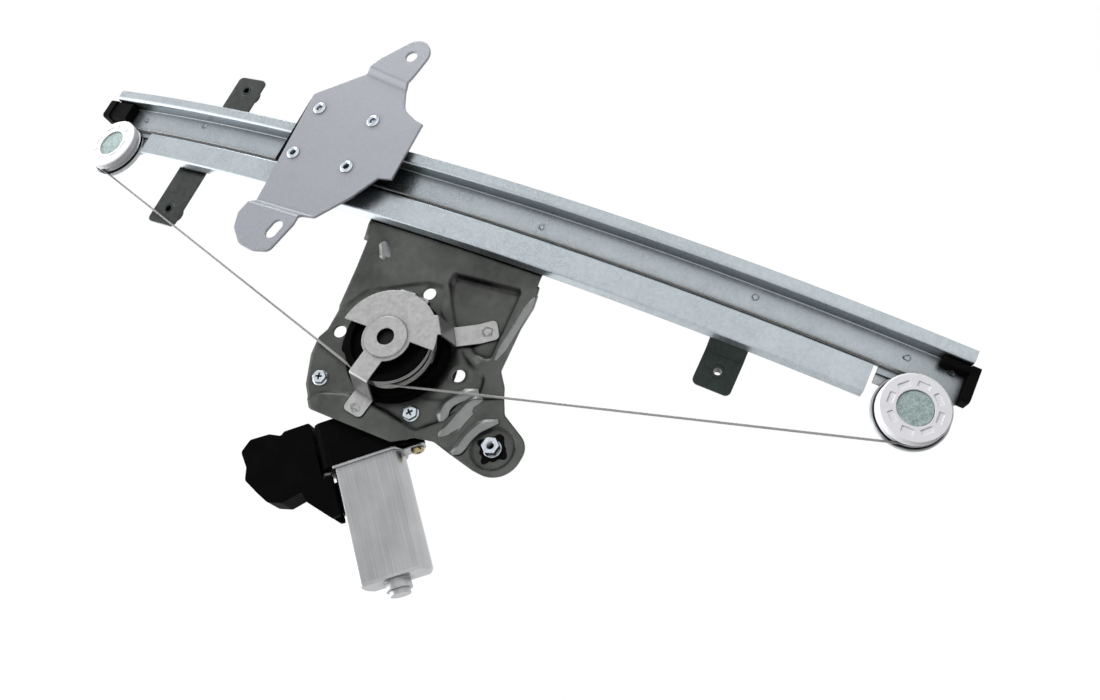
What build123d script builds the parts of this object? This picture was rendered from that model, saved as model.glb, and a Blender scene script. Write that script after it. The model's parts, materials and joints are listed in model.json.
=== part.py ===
"""Electric cable window regulator: a bowed steel rail, a glass carrier, two pulleys, a cable drum and its motor.

The part stands as it hangs in a door. +Z runs up the rail, -Y faces the glass, and -X is the motor's side.
The origin is where the weld nut of the motor plate meets the door's inner panel.

Rail coordinates name most places: "across" is measured along X from the rail's middle line, "out" is the
height above the rail's web towards the glass, and "along" is the length of arc from the middle of the rail.
"""
from build123d import *
from math import asin, cos, degrees, pi, radians, sin, sqrt, tan
import os

os.makedirs("parts", exist_ok=True)

# Rail
rail_radius = 1400.0
rail_top_end = 329.0
rail_bottom_end = -326.0
rail_sheet = 1.4
lip_edge = 24.3
lip_root = 16.7
lip_height = 10.0
wall_foot = 15.9
step_across = -4.5
step_height = 3.4
flange_bend = -22.9
flange_edge = -24.4
flange_end = -3.0
lip_bend = 2.6
sharp_bend = 1.6
inner_bend = 0.7
web_cutaway = 276.0
web_flat_edge = -3.7
web_wide_edge = -8.0

# Pulleys and the cups that carry them
pulley_radius = 21.0
pulley_across = -22.3
pulley_along = 305.0
pulley_back = 0.4
pulley_face = 8.6
pulley_bore = 4.05
groove_out = 2.2
groove_half_width = 1.15
pulley_recess_radius = 10.9
pulley_recess_depth = 2.6
pocket_radius = 14.4
pocket_width = 3.4
pocket_count = 8
pocket_depth = 0.6
cup_radius = 22.8
cup_sheet = 1.2
cup_rim = -0.4
cup_tongue_across = 12.0
pulley_rivet_head_radius = 10.6
pulley_rivet_head = 1.3

# Cable
cable_radius = 0.8
cable_clearance = 0.3
cable_pitch_radius = 19.7
drum_pitch_radius = 26.5
turn_pitch = 2.3
down_level = 1.4
up_level = down_level + turn_pitch
extra_turns_down = 2
extra_turns_up = 1
run_bend_radius = 60.0
joint_gap = 0.1
kink_stub = 4.0

# Motor plate
nut_across = -137.5
nut_along = -91.3
drum_across = -103.0
drum_along = -6.0
plate_sheet = 1.5
plate_out = -8.5
seat_drop = 2.0
dish_drop = 4.4
dish_radius = 14.5
ear_radius = 18.5
shelf_out = -4.6
hole_circle = 44.5
plate_hole_radius = 4.4
nose_hole_radius = 13.0
slope_top = -27.0
slope_end = -39.0
slope_end_out = -9.4
panel_drop = 4.8
seat_draft = 53.0
panel_draft = 35.0
ramp_draft = 68.0
ear_drop = 2.4
ear_draft = 72.0
dish_draft = 45.0

# Weld nut of the plate
nut_bore = 2.5
nut_height = 7.0
nut_flange_radius = 7.2
nut_flange = 1.6
nut_pilot_radius = 3.6
nut_across_flats = 9.8

# Drum, its housing and its cover
drum_bottom = -8.7
drum_top = 10.6
drum_groove_depth = 0.5
shaft_radius = 7.0
fit_clearance = 0.05
housing_radius = 34.2
housing_wall = 1.8
housing_rim = -1.0
housing_floor = 1.4
cover_sheet = 1.2
cover_top = 12.6
cover_radius = 32.5
hub_radius = 16.0
hub_ring_radius = 13.6
hub_rise = 1.4
hub_hole_radius = 5.7
sector_edge = 2.5
leg_width = 14.5
leg_drop_radius = 29.0
leg_land = 34.0
leg_tip = 48.5
leg_angle = 171.3
side_leg_angle = -54.8
side_leg_land = 37.5
side_leg_tip = 65.5
side_leg_rise = 4.0
weld_land = 12.0
tab_angle = 3.0
tab_land = 33.8
tab_tip = 39.6
housing_mouth = 14.0
drum_flange = 31.0
drum_rim = 28.2

# Mounting brackets
bracket_sheet = 1.5
strap_along = 224.5
strap_width = 27.0
strap_top_edge = 64.5
strap_bottom_edge = -70.5
strap_top_out = -9.0
strap_bottom_out = -5.8
strap_top_hole = 53.5
strap_bottom_hole = -57.5
foot_along = -195.5
foot_width = 24.0
foot_edge = -52.0
foot_out = -12.0
foot_hole = -39.5
bracket_hole_radius = 4.4
clinch_nut_length = 7.0
clinch_nut_radius = 7.0

# Glass carrier
carrier_along = 104.3
carrier_across = 18.1
carrier_sheet = 1.8
carrier_out = 14.1
ear_rise = 4.0
rivet_half_across = 19.1
rivet_half_along = 23.0
rivet_head_radius = 4.7
rivet_head = 1.6
rivet_shank_radius = 2.9
rivet_bore = 2.0
rivet_tail_radius = 4.4
lower_step = -46.5
upper_step = 68.8
upper_step_along = 87.2
upper_step_angle = -10.0
glass_hole_across = 90.5
glass_hole_along = 77.4
glass_slot_across = -60.3
glass_slot_angle = -14.0
glass_hole_radius = 4.3
glass_slot_width = 8.6
glass_slot_length = 14.6
shoe_half_length = 36.0
grip_half_length = 10.0
grip_left = -4.1
shoe_left = -8.0
shoe_right = 44.0
jaw_left = 19.2
jaw_bottom = 5.5
pad_left = 8.0
pad_right = 15.3
pad_bottom = 4.0
shoe_clearance = 0.3
ferrule_length = 8.0
ferrule_radius = 1.5

# Motor
motor_angle = 40.7
motor_tilt = 5.0
flat_across = -171.3
flat_along = -16.1
flat_out = -16.0
can_half_depth = 12.5
can_round = 22.5
can_length = 77.0
can_wall = 1.5
can_corner = 2.5
can_screw_radius = 2.1
can_screw_head_radius = 4.2
can_screw_head = 3.0
can_screw_length = 11.0
magnet_low = 16.0
magnet_high = 60.0
magnet_half_width = 9.0
core_low = 20.0
core_high = 56.0
core_slots = 8
commutator_low = 3.6
commutator_high = 14.0
commutator_radius = 6.8
shaft_low = -81.0
worm_centre = -59.0
can_flange = 1.6
can_ear = 31.5
can_ear_radius = 5.6
boss_radius = 8.2
boss_length = 6.0
boss_tip_radius = 6.4
boss_tip = 3.2
shaft_pin_radius = 2.5
worm_radius = 6.0
worm_length = 30.0
thread_pitch = 2.8
core_radius = 10.2
wheel_teeth = 72
wheel_tip_radius = 30.5
wheel_bottom = -27.8
wheel_width = 9.0
tooth_depth = 1.8
tooth_root_width = 1.7
damper_radius = 10.3
shaft_bottom = -29.0

# Gearbox
gearbox_back = -31.5
gearbox_wall = 2.2
gearbox_radius = 34.0
cover_plate_bottom = -14.0
seal_sheet = 0.8
tunnel_low = -84.0
tunnel_radius = 8.2
worm_room_low = -77.0
worm_room_high = -41.0
worm_room_radius = 6.8
worm_bearing_radius = 5.5
ear_bottom = -26.0
ear_boss_radius = 6.5
screw_length = 14.0
screw_across = -136.5
screw_along_top = 34.2
screw_along_bottom = -34.0
screw_head_radius = 5.3
screw_head = 3.4
screw_shank_radius = 2.4
connector_half_depth = 9.5
can_side = -23.3
socket_middle = -14.0
socket_width = 30.0

# Rubber bumpers
bumper_face = 309.8
bumper_over = 7.0
bumper_under = 5.0
upper_block_left = 0.6
upper_cap_left = 0.0
lower_block_left = 10.0
lower_cap_left = -7.0
cap_right = 16.0

# Places that follow from the sizes above
rail_x = -nut_across
rail_z = -nut_along
rail_y = plate_out - dish_drop - plate_sheet
arc_axis = Axis((0, rail_y + rail_radius, rail_z), (1, 0, 0))
seat_out = plate_out - seat_drop
carrier_back = carrier_out - carrier_sheet
shoe_out = carrier_back


def rail_point(across, out, along):
    """The point at these rail coordinates."""
    turn = along / rail_radius
    reach = rail_radius + out
    return Vector(rail_x + across, rail_y + rail_radius - reach * cos(turn), rail_z + reach * sin(turn))


def rail_plane(along, out=0.0, across=0.0):
    """A plane that lies flat on the rail: its x runs across, its y along, and its normal points out."""
    turn = along / rail_radius
    return Plane(rail_point(across, out, along), x_dir=(1, 0, 0), z_dir=(0, -cos(turn), sin(turn)))


def section_plane(along):
    """A plane square to the rail: its x runs across and its y points out."""
    turn = along / rail_radius
    return Plane(rail_point(0, 0, along), x_dir=(1, 0, 0), z_dir=(0, -sin(turn), -cos(turn)))


def front_plane(out):
    """A plane of the motor plate, parallel to the door's inner panel."""
    return rail_plane(0, out)


def sweep_rail(start, end):
    """Revolves the pending section, drawn at start, along the rail to end."""
    revolve(axis=arc_axis, revolution_arc=degrees((start - end) / rail_radius))


def save(part, label):
    """Labels one finished piece and writes it."""
    part.label = label
    export_step(part, f"parts/{label}.step")


# Rail: one bent section swept along the bow, cut away at both ends where the pulleys sit
with BuildPart() as guide_rail:
    with BuildSketch(section_plane(rail_top_end)):
        with BuildLine():
            front = FilletPolyline(
                (lip_edge, lip_height), (lip_root, lip_height), (wall_foot, 0), (step_across, 0),
                (step_across, step_height), (flange_bend, step_height), (flange_edge, flange_end),
                radius=(lip_bend, inner_bend, inner_bend, sharp_bend, sharp_bend))
            offset(front, rail_sheet, side=Side.LEFT)
        make_face()
    sweep_rail(rail_top_end, rail_bottom_end)
    for end in (1, -1):
        with BuildSketch(rail_plane(end * web_cutaway, -20)):
            with Locations((web_flat_edge - 20, end * 40)):
                Rectangle(40, 80)
        extrude(amount=40, mode=Mode.SUBTRACT)
    for start, end in ((rail_top_end, web_cutaway + 3), (-web_cutaway - 3, rail_bottom_end)):
        with BuildSketch(section_plane(start)):
            with Locations(((web_wide_edge + web_flat_edge + 1) / 2, -rail_sheet / 2)):
                Rectangle(web_flat_edge + 1 - web_wide_edge, rail_sheet)
        sweep_rail(start, end)
save(guide_rail.part, "guide_rail")


def bent_strip(profile, along, width, bend):
    """A flat-laid strip of sheet, square to the rail, bent to the profile and one width long."""
    with BuildPart() as strip:
        with BuildSketch(section_plane(along)):
            with BuildLine():
                face = FilletPolyline(*profile, radius=bend)
                offset(face, bracket_sheet, side=Side.LEFT)
            make_face()
        extrude(amount=width / 2, both=True)
    return strip.part


# Upper bracket: one strap behind the rail with an ear on either side
strap_weld_out = -rail_sheet - (strap_width / 2) ** 2 / (2 * rail_radius)
strap_profile = (
    (strap_top_edge, strap_top_out), (wall_foot + 8.5, strap_top_out), (wall_foot - 2, strap_weld_out),
    (step_across, strap_weld_out), (step_across - 5, strap_bottom_out), (strap_bottom_edge, strap_bottom_out))
with BuildPart() as upper_strap:
    add(bent_strip(strap_profile, strap_along, strap_width, 1.6))
    fillet(upper_strap.edges().filter_by(Axis.Y, tolerance=15).group_by(Axis.X)[0], 4.0)
    fillet(upper_strap.edges().filter_by(Axis.Y, tolerance=15).group_by(Axis.X)[-1], 4.0)
    for hole in (strap_top_hole, strap_bottom_hole):
        with BuildSketch(rail_plane(strap_along, 0, hole)):
            Circle(bracket_hole_radius)
        extrude(amount=-20, mode=Mode.SUBTRACT)
save(upper_strap.part, "upper_strap")

# Lower bracket: a single foot that drops behind the rail's flange
foot_weld_out = -rail_sheet - (foot_width / 2) ** 2 / (2 * rail_radius)
foot_profile = (
    (wall_foot - 2, foot_weld_out), (step_across, foot_weld_out), (step_across - 4, -5.0), (-20.0, -5.0),
    (-28.4, foot_out), (foot_edge, foot_out))
with BuildPart() as lower_foot:
    add(bent_strip(foot_profile, foot_along, foot_width, 1.6))
    fillet(lower_foot.edges().filter_by(Axis.Y, tolerance=15).group_by(Axis.X)[0], 3.5)
    with BuildSketch(rail_plane(foot_along, 0, foot_hole)):
        Circle(bracket_hole_radius)
    extrude(amount=-20, mode=Mode.SUBTRACT)
save(lower_foot.part, "lower_foot")

# Clinch nuts: a collar fills the ear's hole and the body stands behind it
with BuildPart() as rail_nuts:
    for along, across, out in (
            (strap_along, strap_top_hole, strap_top_out), (strap_along, strap_bottom_hole, strap_bottom_out),
            (foot_along, foot_hole, foot_out)):
        with BuildSketch(rail_plane(along, out, across)):
            Circle(bracket_hole_radius)
            Circle(nut_bore, mode=Mode.SUBTRACT)
        extrude(amount=-bracket_sheet)
        with BuildSketch(rail_plane(along, out - bracket_sheet, across)):
            Circle(clinch_nut_radius)
            Circle(nut_bore, mode=Mode.SUBTRACT)
        extrude(amount=-clinch_nut_length)
save(rail_nuts.part, "rail_nuts")


def make_bumper(end, far, block_left, cap_left):
    """A rubber stop in the channel beside the lip's wall, with a cap over the web's end and a hook behind it."""
    side = 1 if far > end else -1
    face = side * bumper_face
    with BuildPart() as bumper:
        with BuildSketch(section_plane(max(face, end))):
            with BuildLine():
                FilletPolyline(
                    (block_left + 1.2, 0), (14.6, 0), (15.3, 7.5), (block_left + 0.9, 7.5), (block_left, 3.0),
                    radius=0.8, close=True)
            make_face()
        sweep_rail(max(face, end), min(face, end))
        with BuildSketch(section_plane(max(end, far))):
            with Locations(((cap_left + cap_right) / 2, 2.5)):
                RectangleRounded(cap_right - cap_left, 13, 2.5)
        sweep_rail(max(end, far), min(end, far))
        hook = end - side * 9
        with BuildSketch(section_plane(max(hook, end))):
            with Locations((8.5, -rail_sheet - 1.2)):
                Rectangle(11, 2.4)
        sweep_rail(max(hook, end), min(hook, end))
    return bumper.part


save(make_bumper(rail_top_end, rail_top_end + bumper_over, upper_block_left, upper_cap_left), "upper_bumper")
save(make_bumper(rail_bottom_end, rail_bottom_end - bumper_under, lower_block_left, lower_cap_left), "lower_bumper")


def make_pulley(along):
    """A plastic pulley with one rope groove, a counterbore for its rivet and a ring of shallow pockets."""
    floor = cable_pitch_radius - cable_radius - cable_clearance
    low = groove_out - groove_half_width
    high = groove_out + groove_half_width
    seat = pulley_face - pulley_recess_depth
    base = rail_plane(along, 0, pulley_across)
    with BuildPart() as pulley:
        with BuildSketch(Plane(base.origin, x_dir=base.x_dir, z_dir=-base.y_dir)):
            with BuildLine():
                Polyline(
                    (pulley_bore, pulley_back), (pulley_radius - 0.3, pulley_back), (pulley_radius, low - 0.4),
                    (cable_pitch_radius, low), (floor, groove_out - 0.6), (floor, groove_out + 0.6),
                    (cable_pitch_radius, high), (pulley_radius, high + 0.4), (pulley_radius, pulley_face - 0.9),
                    (pulley_radius - 0.9, pulley_face), (pulley_recess_radius, pulley_face),
                    (pulley_recess_radius, seat), (pulley_bore, seat), close=True)
            make_face()
        revolve(axis=Axis(base.origin, base.z_dir))
        with BuildSketch(rail_plane(along, pulley_face, pulley_across)):
            with PolarLocations(pocket_radius, pocket_count):
                Rectangle(pocket_width, 7.0)
        extrude(amount=-pocket_depth, mode=Mode.SUBTRACT)
    return pulley.part


save(make_pulley(pulley_along), "upper_pulley")
save(make_pulley(-pulley_along), "lower_pulley")


def make_cup(along):
    """The steel cup behind a pulley, with a tongue that is welded behind the rail's web."""
    side = 1 if along > 0 else -1
    sag = cup_radius ** 2 / (2 * rail_radius)
    top = -rail_sheet - sag - 0.01
    with BuildPart() as cup:
        with BuildSketch(rail_plane(along, top, pulley_across)):
            Circle(cup_radius)
        extrude(amount=-cup_sheet)
        with BuildSketch(rail_plane(along, top, pulley_across)):
            Circle(cup_radius)
            Circle(cup_radius - cup_sheet, mode=Mode.SUBTRACT)
            with Locations((web_wide_edge - pulley_across - 0.4 + cup_radius, 0)):
                Rectangle(2 * cup_radius, 3 * cup_radius, mode=Mode.SUBTRACT)
        extrude(amount=cup_rim - top)
        with BuildSketch(rail_plane(along, top, pulley_across)):
            Circle(7.0)
        extrude(amount=pulley_back - 0.3 - top)
        near = along - side * 10
        inner = along - side * 26
        with BuildSketch(section_plane(max(near, inner))):
            with Locations(((cup_tongue_across - 14) / 2, -rail_sheet - cup_sheet / 2)):
                Rectangle(cup_tongue_across + 14, cup_sheet)
        sweep_rail(max(near, inner), min(near, inner))
        with BuildSketch(rail_plane(along, top, pulley_across)):
            Circle(pulley_bore - fit_clearance)
        extrude(amount=12, both=True, mode=Mode.SUBTRACT)
    return cup.part


save(make_cup(pulley_along), "upper_pulley_bracket")
save(make_cup(-pulley_along), "lower_pulley_bracket")

# Rivets: a wide head in each pulley's counterbore, a shank through pulley and cup, and a formed tail
with BuildPart() as pulley_rivets:
    for along in (pulley_along, -pulley_along):
        seat = pulley_face - pulley_recess_depth + 0.3
        tail = -rail_sheet - cup_radius ** 2 / (2 * rail_radius) - 0.01 - cup_sheet
        with BuildSketch(rail_plane(along, seat, pulley_across)):
            Circle(pulley_rivet_head_radius)
        extrude(amount=pulley_rivet_head)
        with BuildSketch(rail_plane(along, seat, pulley_across)):
            Circle(pulley_bore - fit_clearance)
        extrude(amount=tail - seat)
        with BuildSketch(rail_plane(along, tail, pulley_across)):
            Circle(6.0)
        extrude(amount=-1.6)
save(pulley_rivets.part, "pulley_rivets")


def lean_at(side):
    """The angle between the rail and the cable's run, seen along the drum's axis."""
    rise = side * (rail_radius + groove_out) * sin(pulley_along / rail_radius) - drum_along
    reach = sqrt(rise ** 2 + (pulley_across - drum_across) ** 2)
    return (degrees(asin((pulley_across - drum_across) / reach))
            + degrees(asin((drum_pitch_radius - cable_pitch_radius) / reach)))


def make_cable(side, level, turns):
    """One rope: from the carrier along the step, round its pulley, across to the drum and round the drum."""
    lean = lean_at(side)
    cable_across = pulley_across + cable_pitch_radius
    start = carrier_along + side * joint_gap / 2
    end = side * pulley_along
    along_rail = ThreePointArc(
        rail_point(cable_across, groove_out, start), rail_point(cable_across, groove_out, (start + end) / 2),
        rail_point(cable_across, groove_out, end))
    pulley_frame = rail_plane(end, groove_out, pulley_across)
    half = (180 - lean) / 2

    def on_pulley(angle):
        return pulley_frame.from_local_coords(
            Vector(cable_pitch_radius * cos(radians(angle)), side * cable_pitch_radius * sin(radians(angle))))

    wrap = ThreePointArc(on_pulley(0), on_pulley(half), on_pulley(2 * half))
    leave = wrap.tangent_at(1) * kink_stub
    drum_frame = Plane(
        rail_plane(0, level, drum_across).origin + Vector(0, 0, drum_along),
        x_dir=(-cos(radians(lean)), 0, side * sin(radians(lean))), z_dir=(0, -side, 0))
    coil = drum_frame * Helix(turn_pitch, turns * turn_pitch, drum_pitch_radius)
    arrive = coil.tangent_at(0) * kink_stub
    run = FilletPolyline(wrap @ 1, wrap @ 1 + leave, coil @ 0 - arrive, coil @ 0, radius=run_bend_radius)
    with BuildPart() as cable:
        with BuildLine() as path:
            add(along_rail)
            add(wrap)
            add(run)
            add(coil)
        with BuildSketch(Plane(along_rail @ 0, z_dir=along_rail % 0)):
            Circle(cable_radius)
        sweep(path=path.wires()[0])
    return cable.part


cable_up = make_cable(1, up_level, extra_turns_up + 0.5)
cable_down = make_cable(-1, down_level, extra_turns_down + 0.8)
save(cable_up, "cable_up")
save(cable_down, "cable_down")


def on_plate(corners):
    """The points of (across, along, radius) corners."""
    return [(across, along) for across, along, _ in corners]


def radii(corners):
    """The fillet radii of (across, along, radius) corners."""
    return [radius for _, _, radius in corners]


def slope_foot(along):
    """Where the slope beside the rail runs into the plate, which stays flat while the rail bows away."""
    drop = (plate_out - shelf_out) + along ** 2 / (2 * rail_radius)
    return slope_top - (slope_top - slope_end) * (-drop) / (shelf_out - slope_end_out)


# Motor plate: a flange that follows the bow, a slope, and a flat sheet with pressed seats and a dished ear
plate_edge = (
    (slope_foot(57) + 1, 53.5, 0.5), (-58.0, 50.0, 8.0), (-88.0, 47.0, 8.0), (-104.6, 47.2, 4.0),
    (-111.9, 50.4, 4.0), (-124.2, 49.1, 6.0), (-143.7, 41.6, 5.0), (-157.8, 30.0, 3.0), (-157.8, -31.0, 5.0),
    (-149.8, -43.5, 4.0), (-147.6, -56.0, 8.0), (-154.4, -86.0, 12.0), (-156.5, -109.0, 17.5),
    (-128.0, -111.5, 12.0), (-115.5, -88.9, 6.0), (-100.0, -82.0, 6.0), (-91.1, -75.1, 4.0),
    (-59.4, -74.2, 20.0), (-44.5, -75.3, 6.0), (slope_foot(-72) + 1, -73.0, 0.5))
seat_edge = (
    (-87.9, 60.0, 1.0), (-87.9, 46.0, 6.0), (-70.2, 35.6, 8.0), (-51.0, -1.0, 8.0), (-49.5, -17.0, 5.0),
    (-66.0, -20.5, 5.0), (-78.0, -39.0, 10.0), (-92.5, -54.5, 8.0), (-98.0, -68.0, 5.0), (-108.5, -70.3, 5.0),
    (-133.5, -56.5, 5.0), (-146.5, -42.0, 5.0), (-141.8, -16.0, 20.0), (-140.6, 10.0, 20.0),
    (-147.5, 33.0, 6.0), (-163.0, 37.5, 1.0), (-163.0, 60.0, 1.0))
panel_edge = (
    (-39.5, -14.5, 2.0), (-35.5, -64.0, 3.0), (-87.5, -66.0, 4.0), (-87.8, -52.5, 6.0), (-73.5, -29.0, 10.0),
    (-60.2, -19.9, 6.0), (-48.3, -14.2, 3.0))
ramp_edge = (
    (-46.0, -16.0, 2.0), (-50.0, -10.5, 4.0), (-65.2, -15.5, 8.0), (-78.3, -25.0, 10.0), (-94.0, -48.5, 6.0),
    (-92.0, -62.0, 4.0), (-46.0, -61.0, 2.0))
ear_edge = (
    (-175.0, -58.5, 2.0), (-146.5, -59.5, 6.0), (-139.5, -63.2, 8.0), (-130.0, -64.2, 14.0), (-121.0, -66.5, 8.0),
    (-113.0, -77.0, 8.0), (-106.0, -86.0, 4.0), (-100.0, -120.0, 2.0), (-175.0, -125.0, 2.0))
presses = (
    (seat_edge, seat_drop, seat_draft), (panel_edge, panel_drop, panel_draft), (ramp_edge, panel_drop, ramp_draft),
    (ear_edge, ear_drop, ear_draft))
band = (
    (14.5, -rail_sheet), (-4.0, -rail_sheet), (-8.5, shelf_out), (slope_top, shelf_out), (slope_end, slope_end_out))
with BuildPart() as motor_plate:
    with BuildSketch(section_plane(57)):
        with BuildLine():
            face = FilletPolyline(*band, radius=(1.6, 1.6, 3.0))
            offset(face, plate_sheet, side=Side.LEFT)
        make_face()
    sweep_rail(57, -72)
    with BuildSketch(front_plane(plate_out - plate_sheet)):
        with Locations((-60, 0)):
            Rectangle(120, 200)
    extrude(amount=-20, mode=Mode.SUBTRACT)
    with BuildSketch(front_plane(plate_out)):
        with BuildLine():
            FilletPolyline(*on_plate(plate_edge), radius=radii(plate_edge), close=True)
        make_face()
    extrude(amount=-plate_sheet)
plate_body = motor_plate.part

def press(level):
    """The pressed hollows of the plate, each a tapered pocket below a sheet face at this height."""
    with BuildPart() as hollows:
        for corners, drop, draft in presses:
            with BuildSketch(front_plane(level)):
                with BuildLine():
                    FilletPolyline(*on_plate(corners), radius=radii(corners), close=True)
                make_face()
            extrude(amount=-drop, taper=draft)
        with BuildSketch(front_plane(level)):
            with Locations((nut_across, nut_along)):
                Circle(dish_radius + ear_drop * tan(radians(dish_draft)))
        extrude(amount=-dish_drop, taper=dish_draft)
    return hollows.part


with BuildPart() as pressings:
    add(press(plate_out - plate_sheet))
    with BuildSketch(front_plane(plate_out - 20)):
        with BuildLine():
            FilletPolyline(*on_plate(plate_edge), radius=radii(plate_edge), close=True)
        make_face()
    extrude(amount=40, mode=Mode.INTERSECT)

with BuildPart() as motor_plate:
    add(plate_body)
    add(pressings.part)
    add(press(plate_out), mode=Mode.SUBTRACT)
    with BuildSketch(front_plane(plate_out + 5)):
        with Locations((drum_across, drum_along)):
            Circle(nose_hole_radius)
    extrude(amount=-30, mode=Mode.SUBTRACT)
    with BuildSketch(front_plane(plate_out + 5)):
        with Locations((nut_across, nut_along)):
            Circle(nut_pilot_radius)
    extrude(amount=-30, mode=Mode.SUBTRACT)
    with BuildSketch(front_plane(plate_out + 5)):
        with Locations((drum_across, drum_along)):
            with Locations((0, hole_circle), (0, -hole_circle), (hole_circle, 0)):
                Circle(plate_hole_radius)
    extrude(amount=-30, mode=Mode.SUBTRACT)
    with BuildSketch(front_plane(plate_out + 5)):
        with Locations((screw_across, screw_along_top), (screw_across, screw_along_bottom)):
            Circle(screw_shank_radius)
    extrude(amount=-30, mode=Mode.SUBTRACT)
save(motor_plate.part, "motor_plate")

# Weld nut: a pilot through the dish, a flange and a hexagon
with BuildPart() as plate_nut:
    dish_out = plate_out - dish_drop
    with BuildSketch(front_plane(dish_out)):
        with Locations((nut_across, nut_along)):
            Circle(nut_pilot_radius)
            Circle(nut_bore, mode=Mode.SUBTRACT)
    extrude(amount=-plate_sheet)
    with BuildSketch(front_plane(dish_out)):
        with Locations((nut_across, nut_along)):
            Circle(nut_flange_radius)
            Circle(nut_bore, mode=Mode.SUBTRACT)
    extrude(amount=nut_flange)
    with BuildSketch(front_plane(dish_out + nut_flange)):
        with Locations((nut_across, nut_along)):
            RegularPolygon(nut_across_flats / 2, 6, major_radius=False)
            Circle(nut_bore, mode=Mode.SUBTRACT)
    extrude(amount=nut_height - nut_flange)
save(plate_nut.part, "plate_nut")

# Drum housing: a plastic tray on the seat whose wall stops where the ropes run in and out
with BuildPart() as drum_housing:
    with BuildSketch(front_plane(seat_out)):
        with Locations((drum_across, drum_along)):
            Circle(housing_radius)
            Circle(nose_hole_radius, mode=Mode.SUBTRACT)
    extrude(amount=housing_floor)
    with BuildSketch(front_plane(seat_out)):
        with Locations((drum_across, drum_along)):
            Circle(housing_radius)
            Circle(housing_radius - housing_wall, mode=Mode.SUBTRACT)
    extrude(amount=housing_rim - seat_out)
    with BuildSketch(front_plane(seat_out + housing_floor)):
        with Locations((drum_across - housing_radius, drum_along)):
            Rectangle(2 * (housing_radius - housing_mouth), 3 * housing_radius)
    extrude(amount=20, mode=Mode.SUBTRACT)
    with BuildSketch(front_plane(seat_out + housing_floor)):
        for angle in (leg_angle, side_leg_angle, tab_angle):
            with Locations(Location((drum_across, drum_along), angle)):
                with Locations((cover_radius + 18, 0)):
                    Rectangle(40, leg_width + 1)
    extrude(amount=20, mode=Mode.SUBTRACT)
save(drum_housing.part, "drum_housing")


def cover_leg(angle, width, inner, shoulder, foot, tip, foot_out, tip_radius, rise=0.0):
    """One pressed leg: flat from the hub or disc, a bend down at the shoulder, and a foot that ends on the plate."""
    turn = radians(angle)
    base = front_plane(0)
    side = Plane(
        base.from_local_coords(Vector(drum_across, drum_along)),
        x_dir=base.x_dir * cos(turn) + base.y_dir * sin(turn),
        z_dir=base.x_dir * sin(turn) - base.y_dir * cos(turn))
    with BuildPart() as leg:
        with BuildSketch(side):
            with BuildLine():
                line = FilletPolyline(
                    (inner, cover_top - cover_sheet), (shoulder, cover_top - cover_sheet), (foot, foot_out + rise),
                    *(((tip - weld_land, foot_out),) if rise else ()), (tip, foot_out), radius=1.0)
                offset(line, cover_sheet, side=Side.LEFT)
            make_face()
        extrude(amount=width / 2, both=True)
        with BuildSketch(Plane(side.origin, x_dir=side.x_dir, z_dir=base.z_dir)):
            with Locations(((inner + tip) / 2 - 2, 0)):
                RectangleRounded(tip - inner + 4, width, tip_radius)
        extrude(amount=40, both=True, mode=Mode.INTERSECT)
    return leg.part


# Drum cover: a disc over the rail side of the drum, a raised hub ring and three legs welded to the plate
with BuildPart() as drum_cover:
    with BuildSketch(front_plane(cover_top)):
        with Locations((drum_across, drum_along)):
            Circle(cover_radius)
            with Locations((sector_edge - cover_radius, 0)):
                Rectangle(2 * cover_radius, 2 * cover_radius, mode=Mode.SUBTRACT)
            Circle(hub_radius)
    extrude(amount=-cover_sheet)
    with BuildSketch(front_plane(cover_top + hub_rise)):
        with Locations((drum_across, drum_along)):
            Circle(hub_ring_radius)
    extrude(amount=-hub_rise, taper=-25)
    add(cover_leg(leg_angle, leg_width, 10, leg_drop_radius, leg_land, leg_tip, plate_out, 3.5))
    add(cover_leg(side_leg_angle, leg_width - 1, 24, cover_radius + 0.5, side_leg_land, side_leg_tip,
                  plate_out - panel_drop, 3.0, side_leg_rise))
    add(cover_leg(tab_angle, leg_width - 4, 24, cover_radius + 0.2, tab_land, tab_tip, seat_out + housing_floor, 2.0))
    with BuildSketch(front_plane(cover_top - cover_sheet)):
        with Locations((drum_across, drum_along)):
            Circle(hub_ring_radius - 2.0)
    extrude(amount=hub_rise, taper=25, mode=Mode.SUBTRACT)
    with BuildSketch(front_plane(0)):
        with Locations((drum_across, drum_along)):
            Circle(hub_hole_radius)
    extrude(amount=30, mode=Mode.SUBTRACT)
save(drum_cover.part, "drum_cover")

# Cable drum: shallow rope grooves between two flanges, recessed at the front and bored for the output shaft
drum_floor_radius = drum_pitch_radius - cable_radius - cable_clearance
with BuildPart() as cable_drum:
    axis_plane = front_plane(0)
    drum_origin = axis_plane.from_local_coords(Vector(drum_across, drum_along))
    drum_axis = Axis(drum_origin, axis_plane.z_dir)
    with BuildSketch(Plane(drum_origin, x_dir=axis_plane.x_dir, z_dir=-axis_plane.y_dir)):
        with BuildLine():
            Polyline(
                (shaft_radius, drum_bottom), (drum_flange, drum_bottom), (drum_flange, drum_bottom + 1.4),
                (drum_floor_radius, drum_bottom + 2.4), (drum_floor_radius, drum_top - 2.2),
                (drum_rim, drum_top - 1.4), (drum_rim, drum_top),
                (drum_floor_radius - 1.5, drum_top), (drum_floor_radius - 2.2, drum_top - 4.0),
                (shaft_radius + 6.5, drum_top - 4.0),
                (shaft_radius + 5.5, drum_top), (shaft_radius, drum_top), close=True)
        make_face()
    revolve(axis=drum_axis)
save(cable_drum.part, "cable_drum")

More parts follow.
